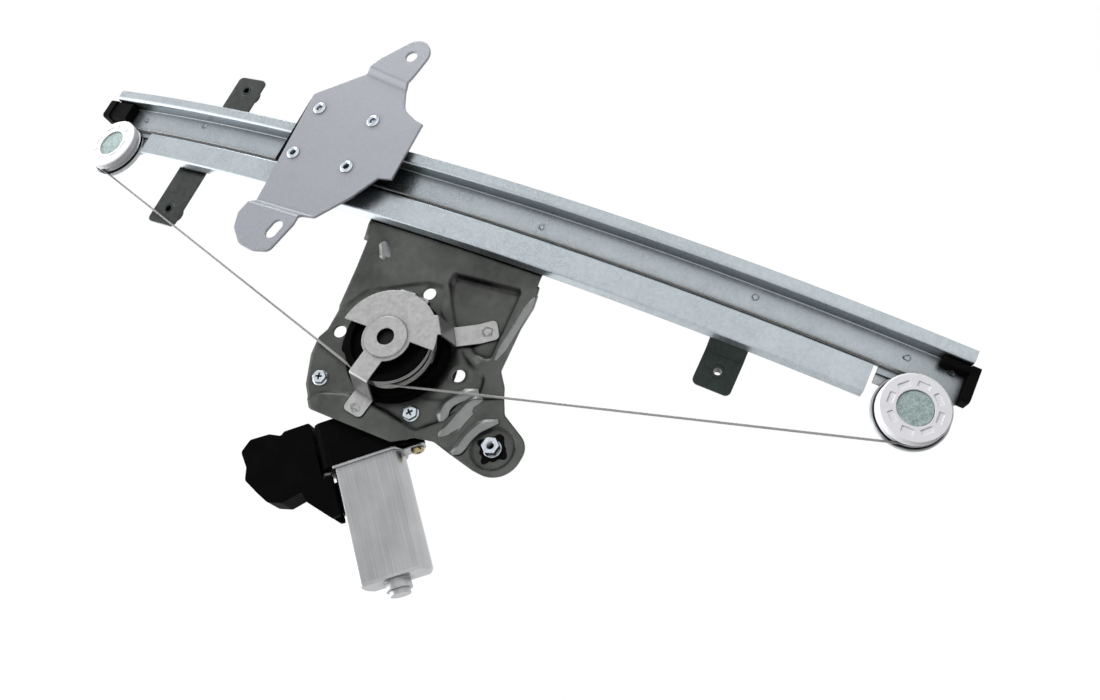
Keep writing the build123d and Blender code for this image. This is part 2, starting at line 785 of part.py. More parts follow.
# Output shaft, worm wheel and the rubber damper between them
with BuildPart() as output_shaft:
    with BuildSketch(front_plane(shaft_bottom)):
        with Locations((drum_across, drum_along)):
            Circle(shaft_radius)
    extrude(amount=drum_top - 0.6 - shaft_bottom)
save(output_shaft.part, "output_shaft")

with BuildPart() as worm_wheel:
    with BuildSketch(front_plane(wheel_bottom)):
        with Locations((drum_across, drum_along)):
            Circle(wheel_tip_radius - tooth_depth)
            Circle(damper_radius, mode=Mode.SUBTRACT)
            with PolarLocations(wheel_tip_radius - tooth_depth / 2 - 0.2, wheel_teeth):
                Trapezoid(tooth_root_width, tooth_depth + 0.4, 76, rotation=-90)
    extrude(amount=wheel_width)
save(worm_wheel.part, "worm_wheel")

with BuildPart() as damper:
    with BuildSketch(front_plane(wheel_bottom + 1.5)):
        with Locations((drum_across, drum_along)):
            Circle(damper_radius)
            Circle(shaft_radius, mode=Mode.SUBTRACT)
    extrude(amount=wheel_width - 3.0)
save(damper.part, "damper")


def front_circle(radius, inner, low, high):
    """A ring about the drum's axis between two heights."""
    with BuildPart() as ring:
        with BuildSketch(front_plane(low)):
            with Locations((drum_across, drum_along)):
                Circle(radius)
                if inner:
                    Circle(inner, mode=Mode.SUBTRACT)
        extrude(amount=high - low)
    return ring.part


# The motor's own frame: z along the can away from the gearbox, y out of the front flat, x towards the nut ear
tilt = radians(motor_tilt)
turn = radians(motor_angle)
plate_frame = front_plane(0)
heading = plate_frame.x_dir * -cos(turn) + plate_frame.y_dir * -sin(turn)
motor_axis = heading * cos(tilt) - plate_frame.z_dir * sin(tilt)
motor_front = heading * sin(tilt) + plate_frame.z_dir * cos(tilt)
flat_point = plate_frame.from_local_coords(Vector(flat_across, flat_along, flat_out))
motor_origin = flat_point - motor_front * can_half_depth
motor_frame = Plane(motor_origin, x_dir=motor_front.cross(motor_axis), z_dir=motor_axis)


def motor_plane(z, x=0.0, y=0.0):
    """A plane square to the motor's axis."""
    return Plane(motor_frame.from_local_coords(Vector(x, y, z)), x_dir=motor_frame.x_dir, z_dir=motor_axis)


def motor_side(y):
    """A plane parallel to the can's front flat: its x is the motor's x and its y runs against the motor's z."""
    return Plane(motor_frame.from_local_coords(Vector(0, y, 0)), x_dir=motor_frame.x_dir, z_dir=motor_front)


def round_bar(radius, inner, low, high):
    """A bar or sleeve on the motor's axis."""
    with BuildPart() as bar:
        with BuildSketch(motor_plane(low)):
            Circle(radius)
            if inner:
                Circle(inner, mode=Mode.SUBTRACT)
        extrude(amount=high - low)
    return bar.part


# The slab that gives the can its two flats
with BuildPart() as can_flats:
    with BuildSketch(motor_plane(0)):
        Rectangle(3 * can_round, 2 * can_half_depth)
    extrude(amount=can_length)
    end_face = can_flats.faces().sort_by(Axis(motor_origin, motor_axis))[-1]
    fillet(end_face.edges().filter_by(Axis(motor_origin, motor_frame.x_dir)), can_corner)

# Motor can: a drawn steel can with two flats, a flange with two ears and a bearing boss
with BuildPart() as motor_can:
    with BuildSketch(motor_plane(0)):
        Circle(can_round)
    extrude(amount=can_length)
    fillet(motor_can.faces().sort_by(Axis(motor_origin, motor_axis))[-1].edges(), can_corner)
    add(can_flats.part, mode=Mode.INTERSECT)
    with BuildSketch(motor_plane(can_length)):
        Circle(boss_radius)
    extrude(amount=boss_length)
    with BuildSketch(motor_plane(can_length + boss_length)):
        Circle(boss_tip_radius)
    extrude(amount=boss_tip)
    with BuildSketch(motor_plane(0)):
        Circle(can_round + 2.0)
        Rectangle(3 * can_round, 2 * can_half_depth + 3.0, mode=Mode.INTERSECT)
        for x in (can_ear, -can_ear):
            with Locations((x / 2, 0)):
                Rectangle(abs(x), 2 * can_ear_radius)
            with Locations((x, 0)):
                Circle(can_ear_radius)
    extrude(amount=can_flange)
    with BuildSketch(motor_plane(0)):
        Circle(can_round - can_wall)
        Rectangle(3 * can_round, 2 * (can_half_depth - can_wall), mode=Mode.INTERSECT)
    extrude(amount=can_length - can_wall, mode=Mode.SUBTRACT)
    with BuildSketch(motor_plane(can_length - can_wall)):
        Circle(boss_radius - can_wall)
    extrude(amount=boss_length, mode=Mode.SUBTRACT)
    with BuildSketch(motor_plane(-1)):
        with Locations((can_ear, 0), (-can_ear, 0)):
            Circle(can_screw_radius)
    extrude(amount=4, mode=Mode.SUBTRACT)
save(motor_can.part, "motor_can")

bearing_low = can_length - can_wall
save(round_bar(boss_radius - can_wall, shaft_pin_radius + fit_clearance, bearing_low, bearing_low + 4.5),
     "can_bearing")

with BuildPart() as magnets:
    with BuildSketch(motor_plane(magnet_low)):
        Circle(can_round - can_wall)
        Circle(core_radius + 0.8, mode=Mode.SUBTRACT)
        Rectangle(3 * can_round, 2 * magnet_half_width, mode=Mode.INTERSECT)
    extrude(amount=magnet_high - magnet_low)
save(magnets.part, "magnets")

with BuildPart() as can_screws:
    with BuildSketch(motor_plane(can_flange)):
        with Locations((can_ear, 0), (-can_ear, 0)):
            Circle(can_screw_head_radius)
    extrude(amount=can_screw_head)
    with BuildSketch(motor_plane(can_flange)):
        with Locations((can_ear, 0), (-can_ear, 0)):
            Circle(can_screw_radius)
    extrude(amount=-can_screw_length)
save(can_screws.part, "can_screws")

# Armature: shaft with worm, laminated core and commutator
with BuildPart() as armature_shaft:
    add(round_bar(shaft_pin_radius, 0, shaft_low, bearing_low + 4.0))
    add(round_bar(worm_radius, 0, worm_centre - worm_length / 2, worm_centre + worm_length / 2))
save(armature_shaft.part, "armature_shaft")

with BuildPart() as armature_core:
    with BuildSketch(motor_plane(core_low)):
        Circle(core_radius)
        with PolarLocations(core_radius, core_slots):
            Rectangle(5.0, 2.2, mode=Mode.SUBTRACT)
        Circle(shaft_pin_radius, mode=Mode.SUBTRACT)
    extrude(amount=core_high - core_low)
save(armature_core.part, "armature_core")
save(round_bar(commutator_radius, shaft_pin_radius, commutator_low, commutator_high), "commutator")

# Brushes on either side of the commutator, in a plastic holder at the can's mouth
brush_inner = commutator_radius + 0.3
with BuildPart() as brushes:
    with BuildSketch(motor_plane(commutator_low + 2)):
        with Locations((brush_inner + 3, 0), (-brush_inner - 3, 0)):
            Rectangle(6, 4)
    extrude(amount=5)
save(brushes.part, "brushes")

with BuildPart() as brush_holder:
    with BuildSketch(motor_plane(0.4)):
        Circle(can_round - can_wall)
        Rectangle(3 * can_round, 2 * (can_half_depth - can_wall), mode=Mode.INTERSECT)
        Circle(shaft_pin_radius + 2, mode=Mode.SUBTRACT)
    extrude(amount=2)
    with BuildSketch(motor_plane(2.4)):
        with Locations((brush_inner + 4, 0), (-brush_inner - 4, 0)):
            Rectangle(6.4, 7)
    extrude(amount=commutator_low + 8.5 - 2.4)
    with BuildSketch(motor_plane(commutator_low + 2)):
        with Locations((brush_inner + 3, 0), (-brush_inner - 3, 0)):
            Rectangle(6, 4)
    extrude(amount=5, mode=Mode.SUBTRACT)
save(brush_holder.part, "brush_holder")

# Gearbox: a cup round the worm wheel, a tunnel round the worm, screw ears and the motor's flange
with BuildPart() as gearbox_housing:
    add(front_circle(gearbox_radius, 0, gearbox_back, cover_plate_bottom))
    with BuildSketch(motor_plane(tunnel_low)):
        Circle(tunnel_radius)
    extrude(amount=-seal_sheet - tunnel_low)
    with BuildSketch(motor_plane(-seal_sheet)):
        with Locations((0, -0.5)):
            RectangleRounded(56, 25, 6)
    extrude(amount=-30)
    with BuildSketch(motor_plane(-seal_sheet)):
        Circle(can_round + 2.0)
        Rectangle(3 * can_round, 2 * can_half_depth + 2.0, mode=Mode.INTERSECT)
        for x in (can_ear, -can_ear):
            with Locations((x / 2, 0)):
                Rectangle(abs(x), 2 * can_ear_radius)
            with Locations((x, 0)):
                Circle(can_ear_radius)
    extrude(amount=-11)
    add(front_circle(gearbox_radius + 0.3, 0, cover_plate_bottom, 0), mode=Mode.SUBTRACT)
    for along in (screw_along_top, screw_along_bottom):
        with BuildSketch(front_plane(ear_bottom)):
            with Locations((screw_across, along)):
                Circle(ear_boss_radius)
        extrude(amount=seat_out - plate_sheet - ear_bottom)
    with BuildSketch(front_plane(ear_bottom)):
        with Locations((screw_across + 7, screw_along_bottom + 6)):
            Rectangle(22, 12, rotation=35)
        with Locations((screw_across + 8, screw_along_top - 5)):
            Rectangle(16, 12, rotation=-20)
    extrude(amount=cover_plate_bottom - ear_bottom)
    add(front_circle(gearbox_radius - gearbox_wall, 0, gearbox_back + gearbox_wall, 0), mode=Mode.SUBTRACT)
    add(front_circle(shaft_radius + 3, shaft_radius + fit_clearance, gearbox_back + gearbox_wall - 0.2,
                     shaft_bottom + 0.8))
    with BuildSketch(motor_plane(worm_room_low)):
        Circle(worm_room_radius)
    extrude(amount=worm_room_high - worm_room_low, mode=Mode.SUBTRACT)
    with BuildSketch(motor_plane(shaft_low - 0.5)):
        Circle(worm_bearing_radius)
    extrude(amount=-seal_sheet - shaft_low + 0.5, mode=Mode.SUBTRACT)
    with BuildSketch(motor_plane(-seal_sheet)):
        with Locations((can_ear, 0), (-can_ear, 0)):
            Circle(can_screw_radius)
    extrude(amount=-can_screw_length, mode=Mode.SUBTRACT)
    with BuildSketch(front_plane(seat_out)):
        with Locations((screw_across, screw_along_top), (screw_across, screw_along_bottom)):
            Circle(screw_shank_radius)
    extrude(amount=-screw_length, mode=Mode.SUBTRACT)
save(gearbox_housing.part, "gearbox_housing")

with BuildPart() as gearbox_cover:
    add(front_circle(gearbox_radius, shaft_radius + fit_clearance, cover_plate_bottom, seat_out - plate_sheet))
    add(front_circle(nose_hole_radius - 0.1, shaft_radius + fit_clearance, seat_out - plate_sheet,
                     seat_out + housing_floor - 0.3))
save(gearbox_cover.part, "gearbox_cover")

with BuildPart() as worm_bearings:
    for low, high in ((shaft_low - 0.5, worm_room_low), (worm_room_high, worm_room_high + 5)):
        add(round_bar(worm_bearing_radius, shaft_pin_radius + fit_clearance, low, high))
save(worm_bearings.part, "worm_bearings")

with BuildPart() as gearbox_seal:
    with BuildSketch(motor_plane(-seal_sheet)):
        Circle(can_round)
        Rectangle(3 * can_round, 2 * can_half_depth, mode=Mode.INTERSECT)
        Circle(can_round / 2, mode=Mode.SUBTRACT)
    extrude(amount=seal_sheet)
save(gearbox_seal.part, "gearbox_seal")

# Motor screws: heads on the pressed seat, shanks into the gearbox ears
with BuildPart() as motor_screws:
    for along in (screw_along_top, screw_along_bottom):
        with BuildSketch(front_plane(seat_out)):
            with Locations((screw_across, along)):
                Circle(screw_head_radius)
        extrude(amount=screw_head)
        with BuildSketch(front_plane(seat_out)):
            with Locations((screw_across, along)):
                Circle(screw_shank_radius)
        extrude(amount=-screw_length)
save(motor_screws.part, "motor_screws")

# Connector: the electronics box beside the can and its plug socket
socket_edge = (
    (-29.5, -34.0, 2.0), (-47.0, -34.0, 1.5), (-50.0, -32.0, 1.5), (-57.0, -35.5, 3.0), (-70.0, -36.0, 3.0),
    (-77.5, -30.0, 3.0), (-76.0, -19.0, 3.0), (-78.5, -11.0, 3.0), (-72.0, 0.0, 4.0), (-67.0, 7.5, 4.0),
    (-58.0, 11.0, 4.0), (-44.0, 8.0, 2.0), (-42.5, 15.0, 6.0), (-29.0, 30.0, 2.0), (can_side, 30.0, 1.0),
    (can_side, 4.0, 0.5), (-29.5, 4.0, 0.5))
with BuildPart() as connector:
    with BuildSketch(motor_side(-connector_half_depth)):
        with BuildLine():
            FilletPolyline(*[(x, -z) for x, z, _ in socket_edge], radius=radii(socket_edge), close=True)
        make_face()
    extrude(amount=2 * connector_half_depth)
    with BuildSketch(motor_plane(-seal_sheet)):
        Circle(can_round + 3.0)
        with Locations((-can_ear / 2, 0)):
            Rectangle(can_ear, 2 * can_ear_radius + 0.2)
        with Locations((-can_ear, 0)):
            Circle(can_ear_radius + 0.1)
    extrude(amount=-11.2, mode=Mode.SUBTRACT)
    with BuildSketch(motor_plane(-seal_sheet)):
        Circle(can_round + 0.6)
        with Locations((-can_ear / 2, 0)):
            Rectangle(can_ear, 2 * can_ear_radius + 0.6)
        with Locations((-can_ear, 0)):
            Circle(can_ear_radius + 0.3)
    extrude(amount=40, mode=Mode.SUBTRACT)
    with BuildSketch(Plane(
            motor_frame.from_local_coords(Vector(-80, 0, socket_middle)), x_dir=motor_axis, z_dir=motor_frame.x_dir)):
        RectangleRounded(socket_width, 2 * connector_half_depth - 4.0, 2.0)
    extrude(amount=80 - 60, mode=Mode.SUBTRACT)
save(connector.part, "connector")

with BuildPart() as connector_terminals:
    with BuildSketch(Plane(
            motor_frame.from_local_coords(Vector(-60, 0, socket_middle)), x_dir=motor_axis, z_dir=-motor_frame.x_dir)):
        with GridLocations(7.0, 6.0, 4, 2):
            Rectangle(2.2, 0.8)
    extrude(amount=10)
save(connector_terminals.part, "connector_terminals")

# Glass carrier: a stamped plate whose two ears are stepped out for the glass
carrier_edge = (
    (-42.5, 133.7, 1.0), (47.4, 138.6, 3.0), (72.4, 106.2, 3.0), (84.2, 99.6, 8.0), (129.9, 58.0, 11.5),
    (76.0, 67.6, 6.0), (66.0, 70.4, 5.0), (51.5, 63.5, 14.0), (45.3, 51.0, 8.0), (42.8, 41.0, 4.0),
    (34.0, 40.1, 4.0), (-0.8, 40.9, 2.0), (-3.0, 54.4, 2.5), (-21.0, 65.3, 3.0), (-42.9, 84.0, 4.0),
    (-44.6, 92.6, 2.0), (-53.0, 92.6, 4.0), (-76.3, 99.2, 6.0), (-79.3, 112.0, 10.0), (-77.6, 124.0, 8.0),
    (-67.5, 134.8, 8.0), (-56.5, 138.4, 8.0), (-46.6, 135.6, 4.0))
with BuildPart() as lower_side:
    with BuildSketch(section_plane(carrier_along)):
        with BuildLine():
            face = FilletPolyline(
                (60.0, carrier_out), (lower_step + ear_rise, carrier_out), (lower_step, carrier_out + ear_rise),
                (-90.0, carrier_out + ear_rise), radius=2.5)
            offset(face, carrier_sheet, side=Side.LEFT)
        make_face()
    extrude(amount=60, both=True)

step_turn = radians(upper_step_angle)
carrier_frame = rail_plane(carrier_along)
upper_point = carrier_frame.from_local_coords(Vector(upper_step, upper_step_along - carrier_along))
upper_frame = Plane(
    upper_point,
    x_dir=carrier_frame.x_dir * cos(step_turn) + carrier_frame.y_dir * sin(step_turn),
    z_dir=carrier_frame.x_dir * sin(step_turn) - carrier_frame.y_dir * cos(step_turn))
with BuildPart() as upper_side:
    with BuildSketch(upper_frame):
        with BuildLine():
            face = FilletPolyline(
                (70.0, carrier_out + ear_rise), (ear_rise, carrier_out + ear_rise), (0, carrier_out),
                (-30.0, carrier_out), radius=2.5)
            offset(face, carrier_sheet, side=Side.LEFT)
        make_face()
    extrude(amount=60, both=True)
    with BuildSketch(rail_plane(carrier_along)):
        with Locations((25.0, 0)):
            Rectangle(50.0, 200.0)
    extrude(amount=40, mode=Mode.SUBTRACT)

with BuildPart() as carrier_plate:
    add(lower_side.part)
    with BuildSketch(rail_plane(carrier_along)):
        with Locations((50.0 + 30.0, 0)):
            Rectangle(60.0, 200.0)
    extrude(amount=40, mode=Mode.SUBTRACT)
    add(upper_side.part)
    with BuildSketch(rail_plane(carrier_along)):
        with BuildLine():
            FilletPolyline(*[(a, s - carrier_along) for a, s, _ in carrier_edge], radius=radii(carrier_edge),
                           close=True)
        make_face()
        with Locations((glass_hole_across, glass_hole_along - carrier_along)):
            Circle(glass_hole_radius, mode=Mode.SUBTRACT)
        with Locations(Location((glass_slot_across, 0), glass_slot_angle)):
            SlotOverall(glass_slot_length, glass_slot_width, mode=Mode.SUBTRACT)
        with Locations((carrier_across, 0)):
            with GridLocations(2 * rivet_half_across, 2 * rivet_half_along, 2, 2):
                Circle(rivet_shank_radius, mode=Mode.SUBTRACT)
    extrude(amount=40, mode=Mode.INTERSECT)
save(carrier_plate.part, "carrier_plate")

# Guide shoe: a plastic slide that hooks round the rail's lip and holds both rope ends over the step
lip_back = lip_height - rail_sheet
with BuildPart() as guide_shoe:
    half = shoe_half_length
    sections = (
        (shoe_left, shoe_right, lip_height + shoe_clearance, shoe_out, half),
        (lip_edge + shoe_clearance, lip_edge + 4.7, jaw_bottom, shoe_out, half),
        (jaw_left, lip_edge + shoe_clearance + 0.5, jaw_bottom, lip_back - shoe_clearance, half),
        (pad_left, pad_right, pad_bottom, shoe_out, half),
        (grip_left, pad_left + 0.5, 0.4, shoe_out, grip_half_length))
    for left, right, low, high, reach in sections:
        with BuildSketch(section_plane(carrier_along + reach)):
            with Locations(((left + right) / 2, (low + high) / 2)):
                Rectangle(right - left, high - low)
        sweep_rail(carrier_along + reach, carrier_along - reach)
    with BuildSketch(section_plane(carrier_along + half)):
        with Locations((pulley_across + cable_pitch_radius, groove_out)):
            Circle(ferrule_radius + 0.1)
    revolve(axis=arc_axis, revolution_arc=degrees(2 * half / rail_radius), mode=Mode.SUBTRACT)
    with BuildSketch(rail_plane(carrier_along, 0, carrier_across)):
        with GridLocations(2 * rivet_half_across, 2 * rivet_half_along, 2, 2):
            Circle(rivet_shank_radius)
    extrude(amount=40, mode=Mode.SUBTRACT)
save(guide_shoe.part, "guide_shoe")

rivet_tail_out = lip_height + shoe_clearance - (rivet_half_along + rivet_tail_radius) ** 2 / (2 * rail_radius)
with BuildPart() as carrier_rivets:
    for out, amount, radius in (
            (carrier_out, rivet_head, rivet_head_radius), (rivet_tail_out, -0.7, rivet_tail_radius),
            (carrier_out, rivet_tail_out - carrier_out, rivet_shank_radius)):
        with BuildSketch(rail_plane(carrier_along, out, carrier_across)):
            with GridLocations(2 * rivet_half_across, 2 * rivet_half_along, 2, 2):
                Circle(radius)
                Circle(rivet_bore, mode=Mode.SUBTRACT)
        extrude(amount=amount)
save(carrier_rivets.part, "carrier_rivets")

with BuildPart() as cable_ferrules:
    for start in (carrier_along + grip_half_length - 0.5, carrier_along - 1.5):
        with BuildSketch(section_plane(start)):
            with Locations((pulley_across + cable_pitch_radius, groove_out)):
                Circle(ferrule_radius)
                Circle(cable_radius + cable_clearance, mode=Mode.SUBTRACT)
        sweep_rail(start, start - ferrule_length)
save(cable_ferrules.part, "cable_ferrules")
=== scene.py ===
"""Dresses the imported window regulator: finishes, wire rope, screws, weld marks, and a studio."""

import json
from math import asin, atan2, cos, pi, radians, sin, sqrt

import bpy
from mathutils import Matrix, Vector


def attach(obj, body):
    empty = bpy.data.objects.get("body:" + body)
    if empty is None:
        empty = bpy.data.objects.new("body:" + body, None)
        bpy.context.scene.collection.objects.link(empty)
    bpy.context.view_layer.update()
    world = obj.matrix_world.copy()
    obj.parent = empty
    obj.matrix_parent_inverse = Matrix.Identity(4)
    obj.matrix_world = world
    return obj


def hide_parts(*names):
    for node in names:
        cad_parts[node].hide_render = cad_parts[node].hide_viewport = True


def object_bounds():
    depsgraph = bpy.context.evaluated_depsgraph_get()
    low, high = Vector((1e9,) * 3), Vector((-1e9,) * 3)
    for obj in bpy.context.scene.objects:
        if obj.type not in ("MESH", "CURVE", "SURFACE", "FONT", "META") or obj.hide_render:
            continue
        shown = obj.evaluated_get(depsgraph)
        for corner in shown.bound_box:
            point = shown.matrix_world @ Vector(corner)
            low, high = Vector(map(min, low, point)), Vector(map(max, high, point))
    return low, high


bl_info = {
    "name": "Window Regulator",
    "version": (1, 0, 0),
    "blender": (4, 5, 0),
    "location": "3D View > Sidebar > Regulator",
    "description": "Finishes, wire rope and small hardware for a cable window regulator",
    "category": "Add Mesh",
}

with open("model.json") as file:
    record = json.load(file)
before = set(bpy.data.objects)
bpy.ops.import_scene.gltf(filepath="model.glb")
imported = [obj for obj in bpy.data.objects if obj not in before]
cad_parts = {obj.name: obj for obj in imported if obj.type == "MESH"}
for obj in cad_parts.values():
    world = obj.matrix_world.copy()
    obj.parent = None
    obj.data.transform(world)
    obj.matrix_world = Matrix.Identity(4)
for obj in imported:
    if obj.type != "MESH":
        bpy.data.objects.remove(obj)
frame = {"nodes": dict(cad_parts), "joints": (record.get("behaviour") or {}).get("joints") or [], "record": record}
cad_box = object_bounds()

MM = 0.001
RAIL_RADIUS = 1400 * MM
RAIL_ACROSS = 137.5 * MM

# Places on the part, in millimetres of rail or plate coordinates

DRUM = (-103.0, -6.0)
NUT = (-137.5, -91.3)
CARRIER_ALONG = 104.3
CARRIER_OUT = 14.1
CARRIER_ACROSS = 18.1
MOTOR_SCREW_ACROSS = -136.5
SCREW_SEAT_OUT = -10.5
DISH_OUT = -12.9
CAN_PLACE = (-170.474, -28.452, -15.390)
CAN_EAR = 31.5
CAN_FLANGE = 1.6


def joint_axis(name):
    """A hinge's place and direction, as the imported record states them."""
    joint = next(j for j in frame["joints"] if j["name"] == name)
    return Vector(joint["pos_m"]), Vector(joint["axis"]).normalized()


RAIL_CENTRE = joint_axis("carrier_travel")[0]
RAIL_MIDDLE = Vector((RAIL_ACROSS, RAIL_CENTRE.y - RAIL_RADIUS, RAIL_CENTRE.z))


def rail_point(across, out, along):
    """The point at these rail coordinates, given in millimetres."""
    turn = along * MM / RAIL_RADIUS
    reach = RAIL_RADIUS + out * MM
    return RAIL_MIDDLE + Vector((across * MM, RAIL_RADIUS - reach * cos(turn), reach * sin(turn)))


def rail_matrix(along, out=0.0, across=0.0):
    """A frame that lies on the rail: x across, y along, z out."""
    turn = along * MM / RAIL_RADIUS
    x = Vector((1, 0, 0))
    z = Vector((0, -cos(turn), sin(turn)))
    y = z.cross(x)
    matrix = Matrix((x, y, z)).transposed().to_4x4()
    matrix.translation = rail_point(across, out, along)
    return matrix


def plate_point(across, out, along):
    """The point at these coordinates of the flat motor plate, given in millimetres."""
    return RAIL_MIDDLE + Vector((across, -out, along)) * MM


def plate_matrix(across, along, out, turn=0.0):
    """A frame on the motor plate, turned about its z: x across, y along, z out."""
    matrix = rail_matrix(0)
    matrix.translation = plate_point(across, out, along)
    return matrix @ Matrix.Rotation(turn, 4, "Z")


def drum_polar(radius, angle, out):
    """A point round the drum's axis, on the plate's side."""
    turn = radians(angle)
    return plate_point(DRUM[0] + radius * cos(turn), out, DRUM[1] + radius * sin(turn))


# The motor's own frame: z along the armature's axis, x across the can

MOTOR_AXIS = joint_axis("armature_spin")[1]
MOTOR_SIDE = Vector((0.652098, 0, -0.758134))
MOTOR_FRAME = Matrix((MOTOR_SIDE, MOTOR_AXIS.cross(MOTOR_SIDE), MOTOR_AXIS)).transposed().to_4x4()
MOTOR_FRAME.translation = plate_point(*CAN_PLACE)
GRAIN_TURN = tuple(MOTOR_AXIS.rotation_difference(Vector((1, 0, 0))).to_euler())

# Shader building blocks

SHEET = "Sheet Metal"
BRUSHED = "Brushed Steel"
SKIN = "Moulded Skin"
PAINTED_SHADE = "Painted Corner Shade"
GRAIN_STRETCH = (0.02, 1.0, 1.0)
RELIEF_HEIGHT = 0.1 * MM
DENT_HEIGHT = 0.7 * MM
MARK_WANDER = 0.8
groups = {}
materials = {}


def feed(tree, socket, source):
    """Gives a socket its source: another node's output, or a plain value."""
    if isinstance(source, bpy.types.NodeSocket):
        tree.links.new(source, socket)
    else:
        socket.default_value = source


def new_node(tree, kind, sources=None, **settings):
    """Adds a node, sets its properties and feeds its sockets."""
    node = tree.nodes.new(kind)
    for name, value in settings.items():
        setattr(node, name, value)
    for name, source in (sources or {}).items():
        feed(tree, node.inputs[name], source)
    return node


def maths(tree, operation, *sources, **settings):
    """The result of a math node on values or other nodes' outputs."""
    node = new_node(tree, "ShaderNodeMath", dict(enumerate(sources)), operation=operation, **settings)
    return node.outputs[0]


def outermost(tree, operation, values):
    """The lowest of several values with MINIMUM, the highest with MAXIMUM."""
    result = values[0]
    for value in values[1:]:
        result = maths(tree, operation, result, value)
    return result


def noise(tree, place, scale, detail, roughness=0.5):
    """The outputs of a noise texture."""
    return new_node(tree, "ShaderNodeTexNoise", {
        "Vector": place, "Scale": scale, "Detail": detail, "Roughness": roughness}).outputs


def ramp(tree, value, start, end, low=0.0, high=1.0, curve="LINEAR"):
    """Goes from low to high while the value goes from start to end."""
    return new_node(tree, "ShaderNodeMapRange", {
        "Value": value, "From Min": start, "From Max": end, "To Min": low, "To Max": high},
        interpolation_type=curve).outputs["Result"]


def blend(tree, factor, first, second, kind="RGBA"):
    """The colour or value between two others."""
    return new_node(tree, "ShaderNodeMix", {"Factor": factor, "A": first, "B": second},
                    data_type=kind).outputs["Result"]


def scaled(tree, color, factor):
    """A colour times a factor."""
    return new_node(tree, "ShaderNodeVectorMath", {"Vector": color, "Scale": factor},
                    operation="SCALE").outputs["Vector"]


def object_place(tree):
    """The shaded point in the object's own coordinates, which are the part's."""
    return new_node(tree, "ShaderNodeTexCoord").outputs["Object"]


def grey(value):
    """A neutral colour."""
    return (value, value, value, 1)


def make_group(name, inputs, outputs=("Color", "Roughness", "Height")):
    """An empty node group with its sockets, and what its inputs give and its outputs take."""
    group = bpy.data.node_groups.new(name, "ShaderNodeTree")
    kinds = {1: "NodeSocketFloat", 3: "NodeSocketVector", 4: "NodeSocketColor"}
    for label, default in inputs.items():
        size = 1 if isinstance(default, float) else len(default)
        socket = group.interface.new_socket(label, in_out="INPUT", socket_type=kinds[size])
        socket.default_value = default
    for label in outputs:
        kind = kinds[4] if label == "Color" else kinds[1]
        group.interface.new_socket(label, in_out="OUTPUT", socket_type=kind)
    given = group.nodes.new("NodeGroupInput").outputs
    return group, given, group.nodes.new("NodeGroupOutput").inputs


def sheet_metal_group():
    """Zinc-coated sheet: crystal patches, fine grain, soft stains; gives colour, roughness and height."""
    group, given, made = make_group(SHEET, {
        "Color": grey(0.5), "Dark": grey(0.4), "Crystal Scale": 300.0, "Crystal Amount": 0.4,
        "Stain Scale": 20.0, "Stain Amount": 0.3, "Roughness": 0.4, "Roughness Spread": 0.15})
    place = object_place(group)
    crystals = new_node(
        group, "ShaderNodeTexVoronoi", {"Vector": place, "Scale": given["Crystal Scale"]},
        feature="F1", distance="EUCLIDEAN")
    tone = new_node(group, "ShaderNodeSeparateColor", {"Color": crystals.outputs["Color"]})
    stains = noise(group, place, given["Stain Scale"], 6.0, 0.62)
    grain = noise(group, place, 1400.0, 3.0, 0.6)
    crystal = maths(
        group, "MULTIPLY", maths(group, "SUBTRACT", tone.outputs["Red"], 0.5), given["Crystal Amount"])
    stain = maths(
        group, "MULTIPLY", maths(group, "SUBTRACT", stains["Fac"], 0.5), given["Stain Amount"])
    total = maths(group, "ADD", crystal, stain)
    level = maths(group, "ADD", total, 0.5, use_clamp=True)
    feed(group, made["Color"], blend(group, level, given["Dark"], given["Color"]))
    feed(group, made["Roughness"],
         maths(group, "MULTIPLY_ADD", total, given["Roughness Spread"], given["Roughness"]))
    feed(group, made["Height"], maths(group, "MULTIPLY_ADD", grain["Fac"], 0.6, total))
    return group


def brushed_group():
    """Long fine scratches along one direction; gives colour, roughness and height."""
    group, given, made = make_group(BRUSHED, {
        "Color": grey(0.6), "Dark": grey(0.45), "Turn": (0, 0, 0), "Fineness": 900.0, "Roughness": 0.32})
    place = object_place(group)
    turned = new_node(group, "ShaderNodeMapping", {"Vector": place, "Rotation": given["Turn"]})
    stretched = new_node(
        group, "ShaderNodeMapping", {"Vector": turned.outputs["Vector"], "Scale": GRAIN_STRETCH})
    scratches = noise(group, stretched.outputs["Vector"], given["Fineness"], 5.0, 0.7)["Fac"]
    clouds = noise(group, place, 45.0, 4.0)["Fac"]
    level = ramp(group, blend(group, 0.45, scratches, clouds, "FLOAT"), 0.32, 0.68)
    feed(group, made["Color"], blend(group, level, given["Dark"], given["Color"]))
    feed(group, made["Roughness"], maths(group, "MULTIPLY_ADD", scratches, 0.18, given["Roughness"]))
    feed(group, made["Height"], scratches)
    return group


def moulded_group():
    """Plastic or rubber: a fine leathery skin with faint dust; gives colour, roughness and height."""
    group, given, made = make_group(SKIN, {
        "Color": grey(0.02), "Dust Color": grey(0.1), "Dust": 0.3, "Fineness": 1200.0, "Roughness": 0.45})
    place = object_place(group)
    skin = noise(group, place, given["Fineness"], 4.0, 0.6)["Fac"]
    dust = ramp(group, noise(group, place, 60.0, 6.0, 0.7)["Fac"], 0.45, 0.8)
    amount = maths(group, "MULTIPLY", dust, given["Dust"])
    feed(group, made["Color"], blend(group, amount, given["Color"], given["Dust Color"]))
    feed(group, made["Roughness"], maths(group, "MULTIPLY_ADD", skin, 0.2, given["Roughness"]))
    feed(group, made["Height"], skin)
    return group


